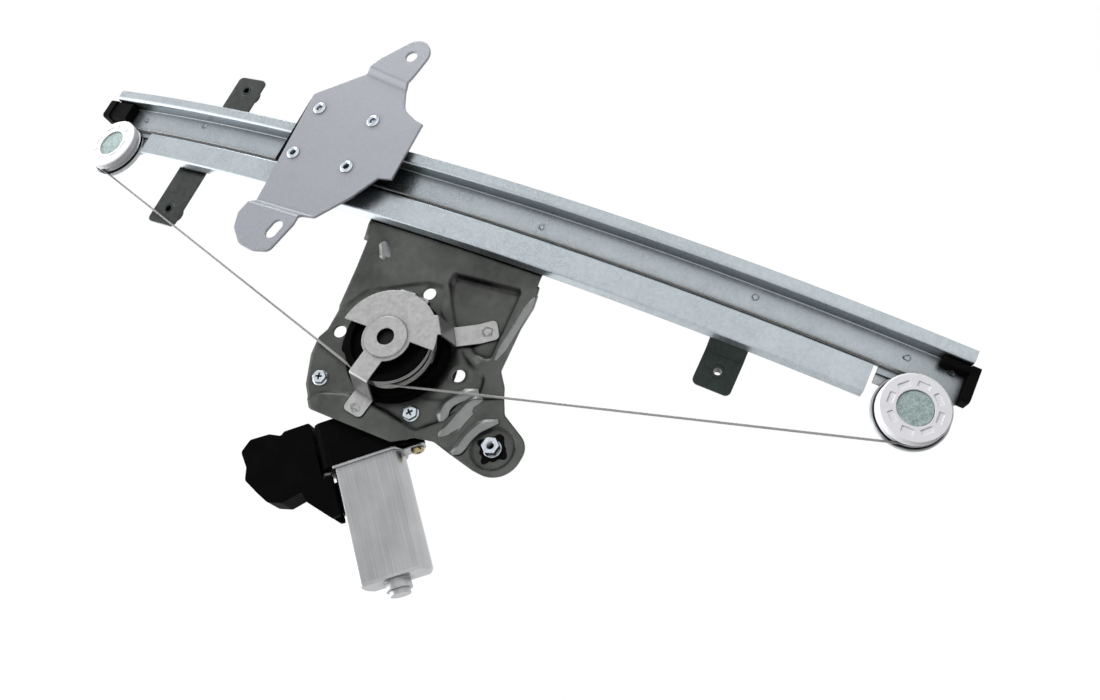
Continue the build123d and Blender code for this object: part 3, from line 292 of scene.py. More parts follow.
def cavity_group():
    """Paints shade into a colour: darker in corners and hollows, where little light gets in."""
    group, given, made = make_group(PAINTED_SHADE, {"Color": grey(0.5), "Reach": 0.01, "Depth": 1.0}, ("Color",))
    hollow = new_node(group, "ShaderNodeAmbientOcclusion", {"Distance": given["Reach"]}, samples=6)
    shade_factor = maths(group, "POWER", hollow.outputs["AO"], given["Depth"])
    feed(group, made["Color"], scaled(group, given["Color"], shade_factor))
    return group


def press_mark(tree, centre, radius):
    """Height and tone of one round press or weld mark, whose outline noise makes uneven."""
    place = object_place(tree)
    shifted = new_node(tree, "ShaderNodeVectorMath", {
        0: noise(tree, place, 420.0, 3.0)["Color"],
        1: (2 * MARK_WANDER * radius,) * 3,
        2: tuple(value - MARK_WANDER * radius for value in centre)}, operation="MULTIPLY_ADD")
    gap = new_node(
        tree, "ShaderNodeVectorMath", {0: place, 1: shifted.outputs["Vector"]},
        operation="DISTANCE").outputs["Value"]
    height = ramp(tree, gap, radius * 0.6, radius, curve="SMOOTHSTEP")
    off_rim = maths(tree, "ABSOLUTE", maths(tree, "SUBTRACT", gap, radius * 0.9))
    return height, ramp(tree, off_rim, 0.0, radius * 0.4, low=0.6)


def add_marks(material, marks):
    """Puts press and weld marks into a finished material, over its grain."""
    tree = material.node_tree
    shader = tree.nodes["Principled BSDF"].inputs
    heights, tones = zip(*(press_mark(tree, centre, radius) for centre, radius in marks))
    dent = new_node(tree, "ShaderNodeBump", {
        "Strength": 1.0, "Distance": DENT_HEIGHT, "Height": outermost(tree, "MINIMUM", heights),
        "Normal": shader["Normal"].links[0].from_socket})
    feed(tree, shader["Normal"], dent.outputs["Normal"])
    plain = shader["Base Color"].links[0].from_socket
    feed(tree, shader["Base Color"], scaled(tree, plain, outermost(tree, "MINIMUM", tones)))


def finish_material(name, group, values, metallic, bump, edge=0.0, cavity=None, specular=0.5, coat=0.0):
    """A Principled material fed by a finish group, with shade painted into its colour in hollows if asked; edge
    and the painted shade's reach are in millimetres.
    """
    material = bpy.data.materials.new(name)
    material.use_nodes = True
    tree = material.node_tree
    finish = new_node(tree, "ShaderNodeGroup", values, node_tree=groups[group]).outputs
    color = finish["Color"]
    # Painted shade: the colour darkens where ambient occlusion finds surfaces close by.
    if cavity:
        reach, depth = cavity
        color = new_node(
            tree, "ShaderNodeGroup", {"Color": color, "Reach": reach * MM, "Depth": depth},
            node_tree=groups[PAINTED_SHADE]).outputs["Color"]
    relief = new_node(tree, "ShaderNodeBump", {
        "Strength": bump, "Distance": RELIEF_HEIGHT, "Height": finish["Height"]})
    if edge:
        softened = new_node(tree, "ShaderNodeBevel", {"Radius": edge * MM}, samples=6)
        feed(tree, relief.inputs["Normal"], softened.outputs["Normal"])
    sources = {
        "Base Color": color, "Roughness": finish["Roughness"], "Normal": relief.outputs["Normal"],
        "Metallic": metallic, "Specular IOR Level": specular, "Coat Weight": coat}
    for label, source in sources.items():
        feed(tree, tree.nodes["Principled BSDF"].inputs[label], source)
    return material


# Finishes


def sheet(color, dark, crystals=(300, 0.4), stains=(20, 0.3), rough=(0.4, 0.15), **build):
    """A coated sheet: scale and amount of its crystals and stains, level and spread of its roughness."""
    values = {
        "Color": color + (1,), "Dark": dark + (1,),
        "Crystal Scale": crystals[0], "Crystal Amount": crystals[1],
        "Stain Scale": stains[0], "Stain Amount": stains[1],
        "Roughness": rough[0], "Roughness Spread": rough[1]}
    return {"group": SHEET, "values": values, **build}


def brushed(color, dark, fineness=900, rough=0.32, **build):
    """The recipe of a metal brushed along the motor's axis."""
    values = {
        "Color": color + (1,), "Dark": dark + (1,), "Turn": GRAIN_TURN, "Fineness": fineness,
        "Roughness": rough}
    return {"group": BRUSHED, "values": values, **build}


def moulded(color, dust_color=(0.1, 0.1, 0.1), dust=0.3, fineness=1200, rough=0.45, **build):
    """The recipe of a plastic or rubber."""
    values = {
        "Color": color + (1,), "Dust Color": dust_color + (1,), "Dust": dust, "Fineness": fineness,
        "Roughness": rough}
    return {"group": SKIN, "values": values, **build}


# A finish's two-number shade setting gives the reach, in millimetres, and the depth of shade painted into its
# colour in corners and hollows.
FINISHES = {
    "galvanised": sheet(
        (0.511, 0.56, 0.589), (0.355, 0.397, 0.426), crystals=(600, 0.35), stains=(45, 0.9),
        rough=(0.3, 0.15), metallic=0.88, bump=0.02, edge=0.8, cavity=(18, 1.2)),
    "plate_steel": sheet(
        (0.131, 0.137, 0.13), (0.043, 0.045, 0.043), crystals=(260, 0.15), stains=(24, 1.8),
        rough=(0.24, 0.12), metallic=0.97, bump=0.1, edge=3.6, cavity=(10, 1)),
    # The ridges' finish is the plate's finish made lighter: a painted highlight along the pressed ridges.
    "ridge_painted_highlight": sheet(
        (0.285, 0.294, 0.291), (0.137, 0.142, 0.14), crystals=(260, 0.15), stains=(24, 0.8),
        rough=(0.3, 0.12), metallic=0.85, bump=0.1, edge=1.2, cavity=(3, 0.9)),
    "carrier_steel": sheet(
        (0.312, 0.32, 0.353), (0.25, 0.263, 0.287), crystals=(700, 0.35), stains=(40, 0.5),
        rough=(0.45, 0.1), metallic=0.6, bump=0.12, edge=1.2, cavity=(4, 1)),
    "cover_steel": sheet(
        (0.451, 0.455, 0.451), (0.306, 0.31, 0.306), crystals=(500, 0.5), stains=(70, 1),
        rough=(0.36, 0.15), metallic=0.85, bump=0.12, edge=0.8, cavity=(4, 1.2)),
    "bracket_steel": sheet(
        (0.079, 0.086, 0.083), (0.033, 0.037, 0.036), crystals=(400, 0.3), stains=(50, 1.2),
        rough=(0.3, 0.15), metallic=0.9, bump=0.12, edge=1, cavity=(6, 1.5)),
    "foot_steel": sheet(
        (0.036, 0.047, 0.044), (0.013, 0.018, 0.016), crystals=(400, 0.3), stains=(50, 1.2),
        rough=(0.28, 0.15), metallic=0.9, bump=0.12, edge=1, cavity=(6, 1.5)),
    "dark_steel": sheet(
        (0.52, 0.54, 0.55), (0.3, 0.32, 0.33), stains=(60, 1.5), rough=(0.35, 0.2), metallic=0.8,
        bump=0.15, edge=0.8, cavity=(4, 2)),
    "zinc": sheet(
        (0.7, 0.75, 0.8), (0.42, 0.47, 0.52), crystals=(900, 0.4), stains=(150, 1), rough=(0.2, 0.15),
        metallic=1, bump=0.12, edge=0.4, cavity=(2, 1.5)),
    "passivated": sheet(
        (0.414, 0.511, 0.496), (0.196, 0.263, 0.256), crystals=(1300, 0.9), stains=(240, 2.2),
        rough=(0.45, 0.2), metallic=0.35, bump=0.3, edge=0.6),
    "can_steel": brushed(
        (0.449, 0.453, 0.465), (0.299, 0.303, 0.312), fineness=700, rough=0.16, metallic=1, bump=0.14,
        edge=1.5, cavity=(4, 1)),
    "core_steel": sheet(
        (0.25, 0.25, 0.26), (0.12, 0.12, 0.12), rough=(0.5, 0.15), metallic=0.8, bump=0.2),
    "ferrite": moulded(
        (0.06, 0.06, 0.065), rough=0.6, metallic=0.1, bump=0.3),
    "carbon": moulded(
        (0.05, 0.05, 0.05), rough=0.5, metallic=0, bump=0.3),
    "copper": brushed(
        (0.8, 0.42, 0.22), (0.45, 0.22, 0.1), metallic=1, bump=0.1),
    "bronze": sheet(
        (0.6, 0.42, 0.22), (0.4, 0.27, 0.14), metallic=0.9, bump=0.2),
    "terminals": sheet(
        (0.8, 0.74, 0.5), (0.6, 0.52, 0.34), rough=(0.3, 0.15), metallic=1, bump=0.1),
    "brass_screws": sheet(
        (0.5, 0.42, 0.24), (0.2, 0.16, 0.08), crystals=(900, 0.4), stains=(200, 1.5),
        rough=(0.25, 0.15), metallic=1, bump=0.15, edge=0.4, cavity=(2, 1.5)),
    # The rope's strong shade setting paints it dark where it lies in the rail's step.
    "rope": sheet(
        (0.56, 0.56, 0.55), (0.36, 0.36, 0.35), crystals=(1500, 0.6), rough=(0.34, 0.15), metallic=0.7,
        bump=0.2, cavity=(7, 4)),
    # The turns on the drum take a lighter, glossier copy of the rope's finish: a painted highlight on the coil.
    "drum_rope_painted_highlight": sheet(
        (0.66, 0.66, 0.64), (0.4, 0.4, 0.39), crystals=(1500, 0.6), rough=(0.2, 0.15), metallic=0.45,
        bump=0.05, cavity=(1.2, 1)),
    "blackened": sheet(
        (0.012, 0.012, 0.012), (0.005, 0.005, 0.005), crystals=(300, 0.3), rough=(0.5, 0.15),
        metallic=0.6, bump=0.2),
    "black_plastic": moulded(
        (0.0012, 0.0012, 0.0013), dust_color=(0.006, 0.006, 0.006), dust=0.3, rough=0.55, metallic=0,
        bump=0.25, edge=0.6, specular=0.03),
    "gear_plastic": moulded(
        (0.74, 0.71, 0.62), dust_color=(0.5, 0.47, 0.4), dust=0.3, metallic=0, bump=0.1),
    "white_plastic": moulded(
        (0.83, 0.83, 0.86), dust_color=(0.62, 0.61, 0.66), dust=0.35, fineness=500, rough=0.38,
        metallic=0, bump=0.1, edge=0.5),
    "rubber": moulded(
        (0.002, 0.002, 0.002), dust_color=(0.012, 0.011, 0.01), dust=0.5, fineness=800, rough=0.7,
        metallic=0, bump=0.5, edge=0.8, specular=0.06),
}
NODE_FINISHES = {
    "drum_cover": "cover_steel", "upper_strap": "bracket_steel", "lower_foot": "foot_steel",
    "rail_nuts": "foot_steel", "pulley_rivets": "passivated", "output_shaft": "blackened",
}

# Press and weld marks: on the cover's legs by radius, angle and out, on the rail by across and along

COVER_MARKS = ((44.0, 171.3, -9.3), (58.5, -54.8, -12.1), (36.5, 3.0, -9.3))
COVER_MARK_RADIUS = 3.4
RAIL_MARKS = ((11.6, 232), (-12, 234), (7, 295), (8.6, -199), (-10, -198), (5, -59), (8, -292), (10, -318))
RAIL_MARK_RADIUS = 2.2
RAIL_MARK_OUT = -0.2


class RegulatorStage(bpy.types.PropertyGroup):
    """The studio's sizes and levels."""

    focal: bpy.props.FloatProperty(
        name="Focal Length", description="Lens that gives the picture's perspective", default=37.10,
        subtype="DISTANCE_CAMERA")
    dark_side: bpy.props.FloatProperty(
        name="Dark Side", description="Light level of the studio's side behind the camera", default=0.12)
    softbox: bpy.props.FloatProperty(
        name="Softbox", description="Light level of the large soft panel over the camera", default=1.15)
    window: bpy.props.FloatProperty(
        name="Window", description="Light level of the bright panel at the picture's left", default=3.2)
    key: bpy.props.FloatProperty(name="Key Power", description="Power of the large soft lamp", default=15.0)
    floor_drop: bpy.props.FloatProperty(
        name="Floor Distance", description="How far the floor lies below the part", default=0.06,
        unit="LENGTH")


class RegulatorRope(bpy.types.PropertyGroup):
    """The wire rope's sizes."""

    radius: bpy.props.FloatProperty(
        name="Rope Radius", description="Half the rope's thickness", default=0.0008, unit="LENGTH")
    lay: bpy.props.FloatProperty(
        name="Lay Length", description="Length over which a strand turns once", default=0.009, unit="LENGTH")


class REGULATOR_OT_finishes(bpy.types.Operator):
    """Give every CAD node its finish"""

    bl_idname = "regulator.finishes"
    bl_label = "Finishes"

    def execute(self, context):
        for make in (sheet_metal_group, brushed_group, moulded_group, cavity_group):
            group = make()
            groups[group.name] = group
        for name, recipe in FINISHES.items():
            materials[name] = finish_material(name, **recipe)
        for part in frame["record"]["subparts"]:
            mesh = frame["nodes"][part["node"]].data
            mesh.materials.clear()
            mesh.materials.append(materials[NODE_FINISHES.get(part["node"], part["material_slot"])])
        add_marks(materials["galvanised"], [
            (rail_point(across, RAIL_MARK_OUT, along), RAIL_MARK_RADIUS * MM)
            for across, along in RAIL_MARKS])
        add_marks(materials["cover_steel"], [
            (drum_polar(*place), COVER_MARK_RADIUS * MM) for place in COVER_MARKS])
        return {"FINISHED"}


# New pieces

SMOOTH_ANGLE = radians(35)
BEVEL_ANGLE = radians(40)


def make_active(piece):
    """Selects one object alone."""
    bpy.ops.object.select_all(action="DESELECT")
    bpy.context.view_layer.objects.active = piece
    piece.select_set(True)


def new_piece(name, vertices, edges, faces):
    """A new object with its own mesh, selected alone."""
    mesh = bpy.data.meshes.new(name)
    mesh.from_pydata(vertices, edges, faces)
    piece = bpy.data.objects.new(name, mesh)
    bpy.context.scene.collection.objects.link(piece)
    make_active(piece)
    return piece


def copy_of(piece):
    """A second object with its own mesh."""
    twin = piece.copy()
    twin.data = piece.data.copy()
    bpy.context.scene.collection.objects.link(twin)
    return twin


def join(*parts):
    """Makes one object of several."""
    bpy.ops.object.select_all(action="DESELECT")
    for part in parts:
        part.select_set(True)
    bpy.context.view_layer.objects.active = parts[0]
    bpy.ops.object.join()
    return parts[0]


def face_outward():
    """Turns all faces of the active object outward."""
    bpy.ops.object.mode_set(mode="EDIT")
    bpy.ops.mesh.select_all(action="SELECT")
    bpy.ops.mesh.normals_make_consistent(inside=False)
    bpy.ops.object.mode_set(mode="OBJECT")


def take(name, matrix, body, slot, finish, *replaced):
    """Puts the active object in its place for good, and says what it rides on and stands for."""
    piece = bpy.context.object
    piece.name = name
    piece.data.name = name
    piece.matrix_world = matrix
    bpy.ops.object.transform_apply(location=True, rotation=True, scale=True)
    piece.data.materials.clear()
    piece.data.materials.append(materials[finish])
    bpy.ops.object.shade_smooth_by_angle(angle=SMOOTH_ANGLE)
    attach(piece, body)
    if replaced:
        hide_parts(*replaced)
    return piece


def lathe(profile, steps):
    """Spins a closed profile of radius and height pairs, in millimetres, about the z axis."""
    points = [Vector((radius, 0, height)) * MM for radius, height in profile]
    closed = [(i, (i + 1) % len(points)) for i in range(len(points))]
    piece = new_piece("turned", points, closed, [])
    bpy.ops.object.mode_set(mode="EDIT")
    bpy.ops.mesh.select_all(action="SELECT")
    bpy.ops.mesh.spin(steps=steps, angle=2 * pi, center=(0, 0, 0), axis=(0, 0, 1))
    bpy.ops.mesh.select_all(action="SELECT")
    bpy.ops.mesh.remove_doubles(threshold=0.001 * MM)
    bpy.ops.object.mode_set(mode="OBJECT")
    face_outward()
    return piece


def prism(radius, low, high, sides):
    """An upright prism between two heights, in millimetres; the radius reaches its corners."""
    bpy.ops.object.select_all(action="DESELECT")
    bpy.ops.mesh.primitive_cylinder_add(
        vertices=sides, radius=radius * MM, depth=(high - low) * MM, location=(0, 0, (high + low) / 2 * MM))
    bpy.ops.object.transform_apply(location=True, rotation=True, scale=True)
    return bpy.context.object


def cut_away(piece, cutter):
    """Subtracts one object from another and deletes the cutter."""
    make_active(piece)
    cut = piece.modifiers.new("cut", "BOOLEAN")
    cut.operation = "DIFFERENCE"
    cut.solver = "EXACT"
    cut.object = cutter
    bpy.ops.object.modifier_apply(modifier="cut")
    bpy.data.objects.remove(cutter)


def soften(piece, width, segments):
    """Rounds the piece's sharp edges."""
    make_active(piece)
    bevel = piece.modifiers.new("soften", "BEVEL")
    bevel.width = width * MM
    bevel.segments = segments
    bevel.limit_method = "ANGLE"
    bevel.angle_limit = BEVEL_ANGLE
    bpy.ops.object.modifier_apply(modifier="soften")


def cross_recess(piece, top, length, width, depth, taper=0.45):
    """Sinks a cross into a screw's head, narrower at its floor."""
    for turn in (0.0, pi / 2):
        bpy.ops.object.select_all(action="DESELECT")
        bpy.ops.mesh.primitive_cube_add(
            size=1, location=(0, 0, (top - depth / 2 + 0.5) * MM), rotation=(0, 0, turn))
        cutter = bpy.context.object
        cutter.scale = (length * MM, width * MM, (depth + 1.0) * MM)
        bpy.ops.object.transform_apply(location=True, rotation=True, scale=True)
        for vertex in cutter.data.vertices:
            if vertex.co.z < (top - depth + 0.1) * MM:
                vertex.co.x *= taper
                vertex.co.y *= taper
        cut_away(piece, cutter)


class REGULATOR_OT_motor_screws(bpy.types.Operator):
    """Hexagon flange screws with a cross recess, on the pressed seat"""

    bl_idname = "regulator.motor_screws"
    bl_label = "Motor Screws"

    def execute(self, context):
        head = prism(radius=4.75, low=0.5, high=3.4, sides=6)
        soften(head, width=0.45, segments=3)
        cross_recess(head, top=3.4, length=5.6, width=1.5, depth=2.2)
        flange = lathe(((0.5, 0.0), (5.3, 0.0), (5.3, 0.5), (4.6, 1.1), (2.0, 1.2), (0.5, 1.2)), steps=40)
        shank = lathe(((0.2, 0.3), (2.4, 0.3), (2.4, -13.4), (1.9, -14.0), (0.2, -14.0)), steps=24)
        first = join(head, flange, shank)
        second = copy_of(first)
        for piece, name, along, turn in (
                (first, "motor_screw_upper", 34.2, 0.3), (second, "motor_screw_lower", -34.0, 0.9)):
            make_active(piece)
            place = plate_matrix(MOTOR_SCREW_ACROSS, along, SCREW_SEAT_OUT, turn)
            take(name, place, "frame", "zinc", "zinc", "motor_screws")
        return {"FINISHED"}


class REGULATOR_OT_can_screws(bpy.types.Operator):
    """Pan-head screws that hold the motor can's ears"""

    bl_idname = "regulator.can_screws"
    bl_label = "Can Screws"

    def execute(self, context):
        head = lathe(((0.3, 0.0), (4.2, 0.0), (4.2, 1.3), (3.7, 2.3), (2.6, 2.85), (0.3, 3.0)), steps=40)
        cross_recess(head, top=3.0, length=4.6, width=1.2, depth=1.9)
        shank = lathe(((0.2, 0.2), (2.1, 0.2), (2.1, -10.5), (1.6, -11.0), (0.2, -11.0)), steps=24)
        first = join(head, shank)
        second = copy_of(first)
        for piece, name, side in ((first, "can_screw_near", CAN_EAR), (second, "can_screw_far", -CAN_EAR)):
            make_active(piece)
            place = (MOTOR_FRAME @ Matrix.Translation((side * MM, 0, CAN_FLANGE * MM))
                     @ Matrix.Rotation(0.5, 4, "Z"))
            take(name, place, "frame", "brass_screws", "brass_screws", "can_screws")
        return {"FINISHED"}


class REGULATOR_OT_carrier_rivets(bpy.types.Operator):
    """Hollow rivets that clinch the glass carrier to its shoe"""

    bl_idname = "regulator.carrier_rivets"
    bl_label = "Carrier Rivets"

    def execute(self, context):
        first = lathe((
            (2.0, 0.6), (2.3, 1.15), (3.0, 1.6), (3.9, 1.4), (4.7, 0.55), (4.7, 0.0), (2.9, 0.0),
            (2.9, -3.6), (4.4, -3.7), (4.4, -4.4), (2.0, -4.4)), steps=40)
        carrier = rail_matrix(CARRIER_ALONG, CARRIER_OUT, CARRIER_ACROSS)
        for name, across, along in (
                ("rivet_rear_upper", -19.1, 23.0), ("rivet_front_upper", 19.1, 23.0),
                ("rivet_front_lower", 19.1, -23.0), ("rivet_rear_lower", -19.1, -23.0)):
            make_active(copy_of(first))
            place = carrier @ Matrix.Translation((across * MM, along * MM, 0))
            take(name, place, "carrier", "zinc", "zinc", "carrier_rivets")
        bpy.data.objects.remove(first)
        return {"FINISHED"}


class REGULATOR_OT_plate_nut(bpy.types.Operator):
    """The weld nut in the plate's dish, with a thin black disc round its crown: painted shade where the cut-out it
    stands in is dark
    """

    bl_idname = "regulator.plate_nut"
    bl_label = "Plate Nut"

    def execute(self, context):
        bore = 2.5
        crown = prism(radius=5.66, low=1.0, high=7.0, sides=6)
        cut_away(crown, prism(radius=bore, low=-2.0, high=9.0, sides=32))
        soften(crown, width=0.5, segments=2)
        base = lathe((
            (bore, -1.5), (3.6, -1.5), (3.6, 0.0), (5.7, 0.0), (5.9, 0.3), (5.8, 1.0), (5.4, 1.3),
            (bore, 1.3)), steps=48)
        threads = [
            lathe(((2.55, level - 0.25), (2.05, level + 0.1), (2.55, level + 0.45)), steps=32)
            for level in range(-1, 7)]
        join(crown, base, *threads)
        make_active(crown)
        take("weld_nut", plate_matrix(*NUT, DISH_OUT, 0.35), "frame", "zinc", "zinc", "plate_nut")

        # A thin black disc on the dish floor: painted shade for the dark cut-out round the nut's crown.
        bpy.ops.object.select_all(action="DESELECT")
        bpy.ops.mesh.primitive_circle_add(vertices=60, radius=8.0 * MM, fill_type="NGON")
        for vertex in context.object.data.vertices:
            turn = atan2(vertex.co.y, vertex.co.x)
            vertex.co *= 1.0 + 0.34 * max(0.0, cos(4 * turn + 0.6)) + 0.05 * sin(9 * turn)
        bpy.ops.object.mode_set(mode="EDIT")
        bpy.ops.mesh.select_all(action="SELECT")
        bpy.ops.mesh.extrude_region_move(TRANSFORM_OT_translate={"value": (0, 0, 0.08 * MM)})
        bpy.ops.object.mode_set(mode="OBJECT")
        face_outward()
        take("nut_hole_painted_shade", plate_matrix(*NUT, DISH_OUT + 0.02), "frame", "black_plastic", "rubber")
        return {"FINISHED"}


def smooth_line(points, steps=10):
    """A curve that runs through all the points."""
    ends = [points[0] * 2 - points[1]] + list(points) + [points[-1] * 2 - points[-2]]
    line = []
    for a, b, c, d in zip(ends, ends[1:], ends[2:], ends[3:]):
        for i in range(steps):
            t = i / steps
            line.append((b * 2 + (c - a) * t + (a * 2 - b * 5 + c * 4 - d) * t * t
                         + (b * 3 - a - c * 3 + d) * t * t * t) / 2)
    return line + [points[-1]]


def pressed_ridge(name, points, level, height, half_width):
    """A soft ridge on the motor plate, along a line of plate coordinates, that fades at its ends."""
    line = smooth_line([Vector(point) for point in points])
    shares = [2 * k / RIDGE_SPOKES - 1 for k in range(RIDGE_SPOKES + 1)]
    vertices, faces = [], []
    for i, point in enumerate(line):
        heading = (line[min(i + 1, len(line) - 1)] - line[max(i - 1, 0)]).normalized()
        side = Vector((-heading.y, heading.x))
        fade = min(1.0, sin(pi * i / (len(line) - 1)) * RIDGE_FADE)
        reach = half_width * (RIDGE_NARROWEST + (1 - RIDGE_NARROWEST) * fade)
        section = [(share, height * fade * cos(pi / 2 * share) ** 2 - RIDGE_SINK) for share in shares]
        for share, rise in section + [(1, -RIDGE_FOOT), (-1, -RIDGE_FOOT)]:
            place = point + side * (reach * share)
            vertices.append(plate_point(place.x, level + rise, place.y))
    ring = len(shares) + 2
    for i in range(len(line) - 1):
        for k in range(ring):
            after = (k + 1) % ring
            faces.append((i * ring + k, i * ring + after, (i + 1) * ring + after, (i + 1) * ring + k))
    faces.append(tuple(range(ring)))
    faces.append(tuple(reversed(range(len(vertices) - ring, len(vertices)))))
    piece = new_piece(name, vertices, [], faces)
    face_outward()
    return piece


# Ridges, in millimetres; a row is name, line of plate coordinates, plate's level, height, half width

RIDGE_SPOKES = 16
RIDGE_FADE = 1.8
RIDGE_NARROWEST = 0.4
RIDGE_SINK = 0.15
RIDGE_FOOT = 0.6
RIDGES = (
    ("wave_outer", ((-147, -56), (-137, -61), (-126, -64), (-116, -68), (-110, -76)), -9.6, 2.6, 6.0),
    ("wave_inner", ((-136, -57), (-128, -53), (-121, -54), (-114, -60), (-108, -68)), -9.0, 1.6, 4.0),
    ("ear_foot", ((-150, -70), (-145, -73), (-136, -75), (-128, -79), (-121, -88)), -9.6, 1.6, 3.6),
    ("slope_dart", ((-33, 43), (-38, 39), (-43, 36), (-48, 34)), -9.6, 3.6, 6.5),
    ("edge_rib", ((-37, -73.5), (-60, -71.3), (-88, -68.5)), -8.6, 1.3, 3.4))


class REGULATOR_OT_plate_ridges(bpy.types.Operator):
    """Soft pressed ridges of the motor plate: waves over the ear, a dart at the slope, a rib at the edge"""

    bl_idname = "regulator.plate_ridges"
    bl_label = "Plate Ridges"

    def execute(self, context):
        for name, points, level, height, half_width in RIDGES:
            pressed_ridge(name, points, level, height, half_width)
            # Each ridge takes the lighter copy of the plate's finish, a painted highlight.
            take(name, Matrix.Identity(4), "frame", "plate_steel", "ridge_painted_highlight")
        return {"FINISHED"}


# The ropes' way, in millimetres

ROPE_ACROSS = -2.6
ROPE_OUT = 2.2
ROPE_STEP = 0.75
FERRULE_GAP = 0.05
PULLEY_ACROSS = -22.3
PULLEY_ALONG = 305.0
PULLEY_PITCH_RADIUS = 19.7
DRUM_PITCH_RADIUS = 26.5
DRUM_REACH = 29.0
GROOVE_PITCH = 2.3


def lean_at(side):
    """The angle between the rail and the rope's run, seen along the drum's axis."""
    rise = side * (RAIL_RADIUS / MM + ROPE_OUT) * sin(PULLEY_ALONG * MM / RAIL_RADIUS) - DRUM[1]
    aside = PULLEY_ACROSS - DRUM[0]
    reach = sqrt(rise ** 2 + aside ** 2)
    return asin(aside / reach) + asin((DRUM_PITCH_RADIUS - PULLEY_PITCH_RADIUS) / reach)


def rope_points(side, level, turns):
    """One rope's middle line: down the rail's step, round its pulley, across to the drum and round it."""
    lean = lean_at(side)
    start = CARRIER_ALONG + side * FERRULE_GAP
    end = side * PULLEY_ALONG
    count = int(abs(end - start) / ROPE_STEP)
    points = [rail_point(ROPE_ACROSS, ROPE_OUT, start + (end - start) * i / count) for i in range(count)]

    pulley = rail_matrix(end, ROPE_OUT, PULLEY_ACROSS)
    sweep = pi - lean
    count = int(PULLEY_PITCH_RADIUS * sweep / ROPE_STEP)
    for i in range(count + 1):
        angle = sweep * i / count
        points.append(pulley @ (Vector((cos(angle), side * sin(angle), 0)) * PULLEY_PITCH_RADIUS * MM))

    centre = plate_point(DRUM[0], level, DRUM[1])
    ahead = Vector((-cos(lean), 0, side * sin(lean)))
    axis = Vector((0, -side, 0))
    across = axis.cross(ahead)
    coil = []
    count = int(2 * pi * DRUM_PITCH_RADIUS * turns / ROPE_STEP)
    for i in range(count + 1):
        angle = 2 * pi * turns * i / count
        rise = GROOVE_PITCH * turns * i / count
        spoke = ahead * cos(angle) + across * sin(angle)
        coil.append(centre + spoke * DRUM_PITCH_RADIUS * MM + axis * rise * MM)

    last = points[-1]
    run = coil[0] - last
    count = int(run.length / MM / ROPE_STEP)
    points += [last + run * (i / count) for i in range(1, count)]
    return points + coil


def stranded(name, points, radius, lay):
    """A six-strand wire rope along the points; its lobes turn once for each lay length."""
    ahead = (points[1] - points[0]).normalized()
    side = ahead.orthogonal().normalized()
    spokes = 12
    hollow = 0.72
    vertices, faces = [], []
    walked = 0.0
    for i, point in enumerate(points):
        if i:
            walked += (point - points[i - 1]).length
        following = points[min(i + 1, len(points) - 1)]
        ahead = (following - points[max(i - 1, 0)]).normalized()
        side = (side - ahead * side.dot(ahead)).normalized()
        other = ahead.cross(side)
        for k in range(spokes):
            turn = 2 * pi * (k / spokes + walked / lay)
            reach = radius if k % 2 else radius * hollow
            vertices.append(point + (side * cos(turn) + other * sin(turn)) * reach)
        if i:
            base = (i - 1) * spokes
            for k in range(spokes):
                after = (k + 1) % spokes
                faces.append((base + k, base + after, base + spokes + after, base + spokes + k))
    faces.append(tuple(reversed(range(spokes))))
    faces.append(tuple(range(len(vertices) - spokes, len(vertices))))
    return new_piece(name, vertices, [], faces)


class REGULATOR_OT_ropes(bpy.types.Operator):
    """The two wire ropes, from the carrier round the pulleys to the drum"""

    bl_idname = "regulator.ropes"
    bl_label = "Wire Ropes"

    def execute(self, context):
        settings = context.scene.regulator_rope
        middle = plate_point(DRUM[0], 0, DRUM[1])
        for name, node, side, level, turns in (
                ("wire_rope_up", "cable_up", 1, 3.7, 1.5), ("wire_rope_down", "cable_down", -1, 1.4, 2.8)):
            piece = stranded(name, rope_points(side, level, turns), settings.radius, settings.lay)
            take(name, Matrix.Identity(4), "frame", "rope", "rope", node)
            # Faces round the drum take the lighter copy of the rope's finish, a painted highlight on the coil.
            piece.data.materials.append(materials["drum_rope_painted_highlight"])
            for face in piece.data.polygons:
                gap = face.center - middle
                if sqrt(gap.x ** 2 + gap.z ** 2) < DRUM_REACH * MM:
                    face.material_index = 1
        return {"FINISHED"}


# The studio, seen from the camera: a direction is given as right, up and ahead in the picture

CAMERA_PLACE = RAIL_MIDDLE + Vector((-282.34, -603.39, -330.64)) * MM
PICTURE_RIGHT = Vector((0.43410, 0.23317, -0.87017))
PICTURE_UP = Vector((0.85729, -0.40369, 0.31951))
PICTURE_AHEAD = Vector((0.27678, 0.88468, 0.37514))
PICTURE_SHIFT = (0.0497, 0.0166)
SENSOR_WIDTH = 36.0
LAMP_DISTANCE = 1.3
LAMPS = {
    "key": {"direction": (-0.45, 0.75, -0.5), "share": 1.0, "size": 0.8, "mirrored": False},
    "rim": {"direction": (-0.30, 0.93, 0.20), "share": 0.25, "size": 0.45, "mirrored": True},
    "fill": {"direction": (0.7, -0.35, -0.6), "share": 0.15, "size": 1.2, "mirrored": False},
}
WINDOW_DIRECTION = (-0.90, -0.12, 0.42)
WINDOW_EDGE = (0.52, 0.92)
SOFTBOX_DIRECTION = (-0.12, 0.66, -0.75)
SOFTBOX_EDGE = (0.72, 0.97)
FLOOR_SIZE = 12
FLOOR_GREY = 0.14
FLOOR_GLOW = 0.93


def towards(right, up, ahead):
    """A direction given in the picture's own terms."""
    return (PICTURE_RIGHT * right + PICTURE_UP * up + PICTURE_AHEAD * ahead).normalized()


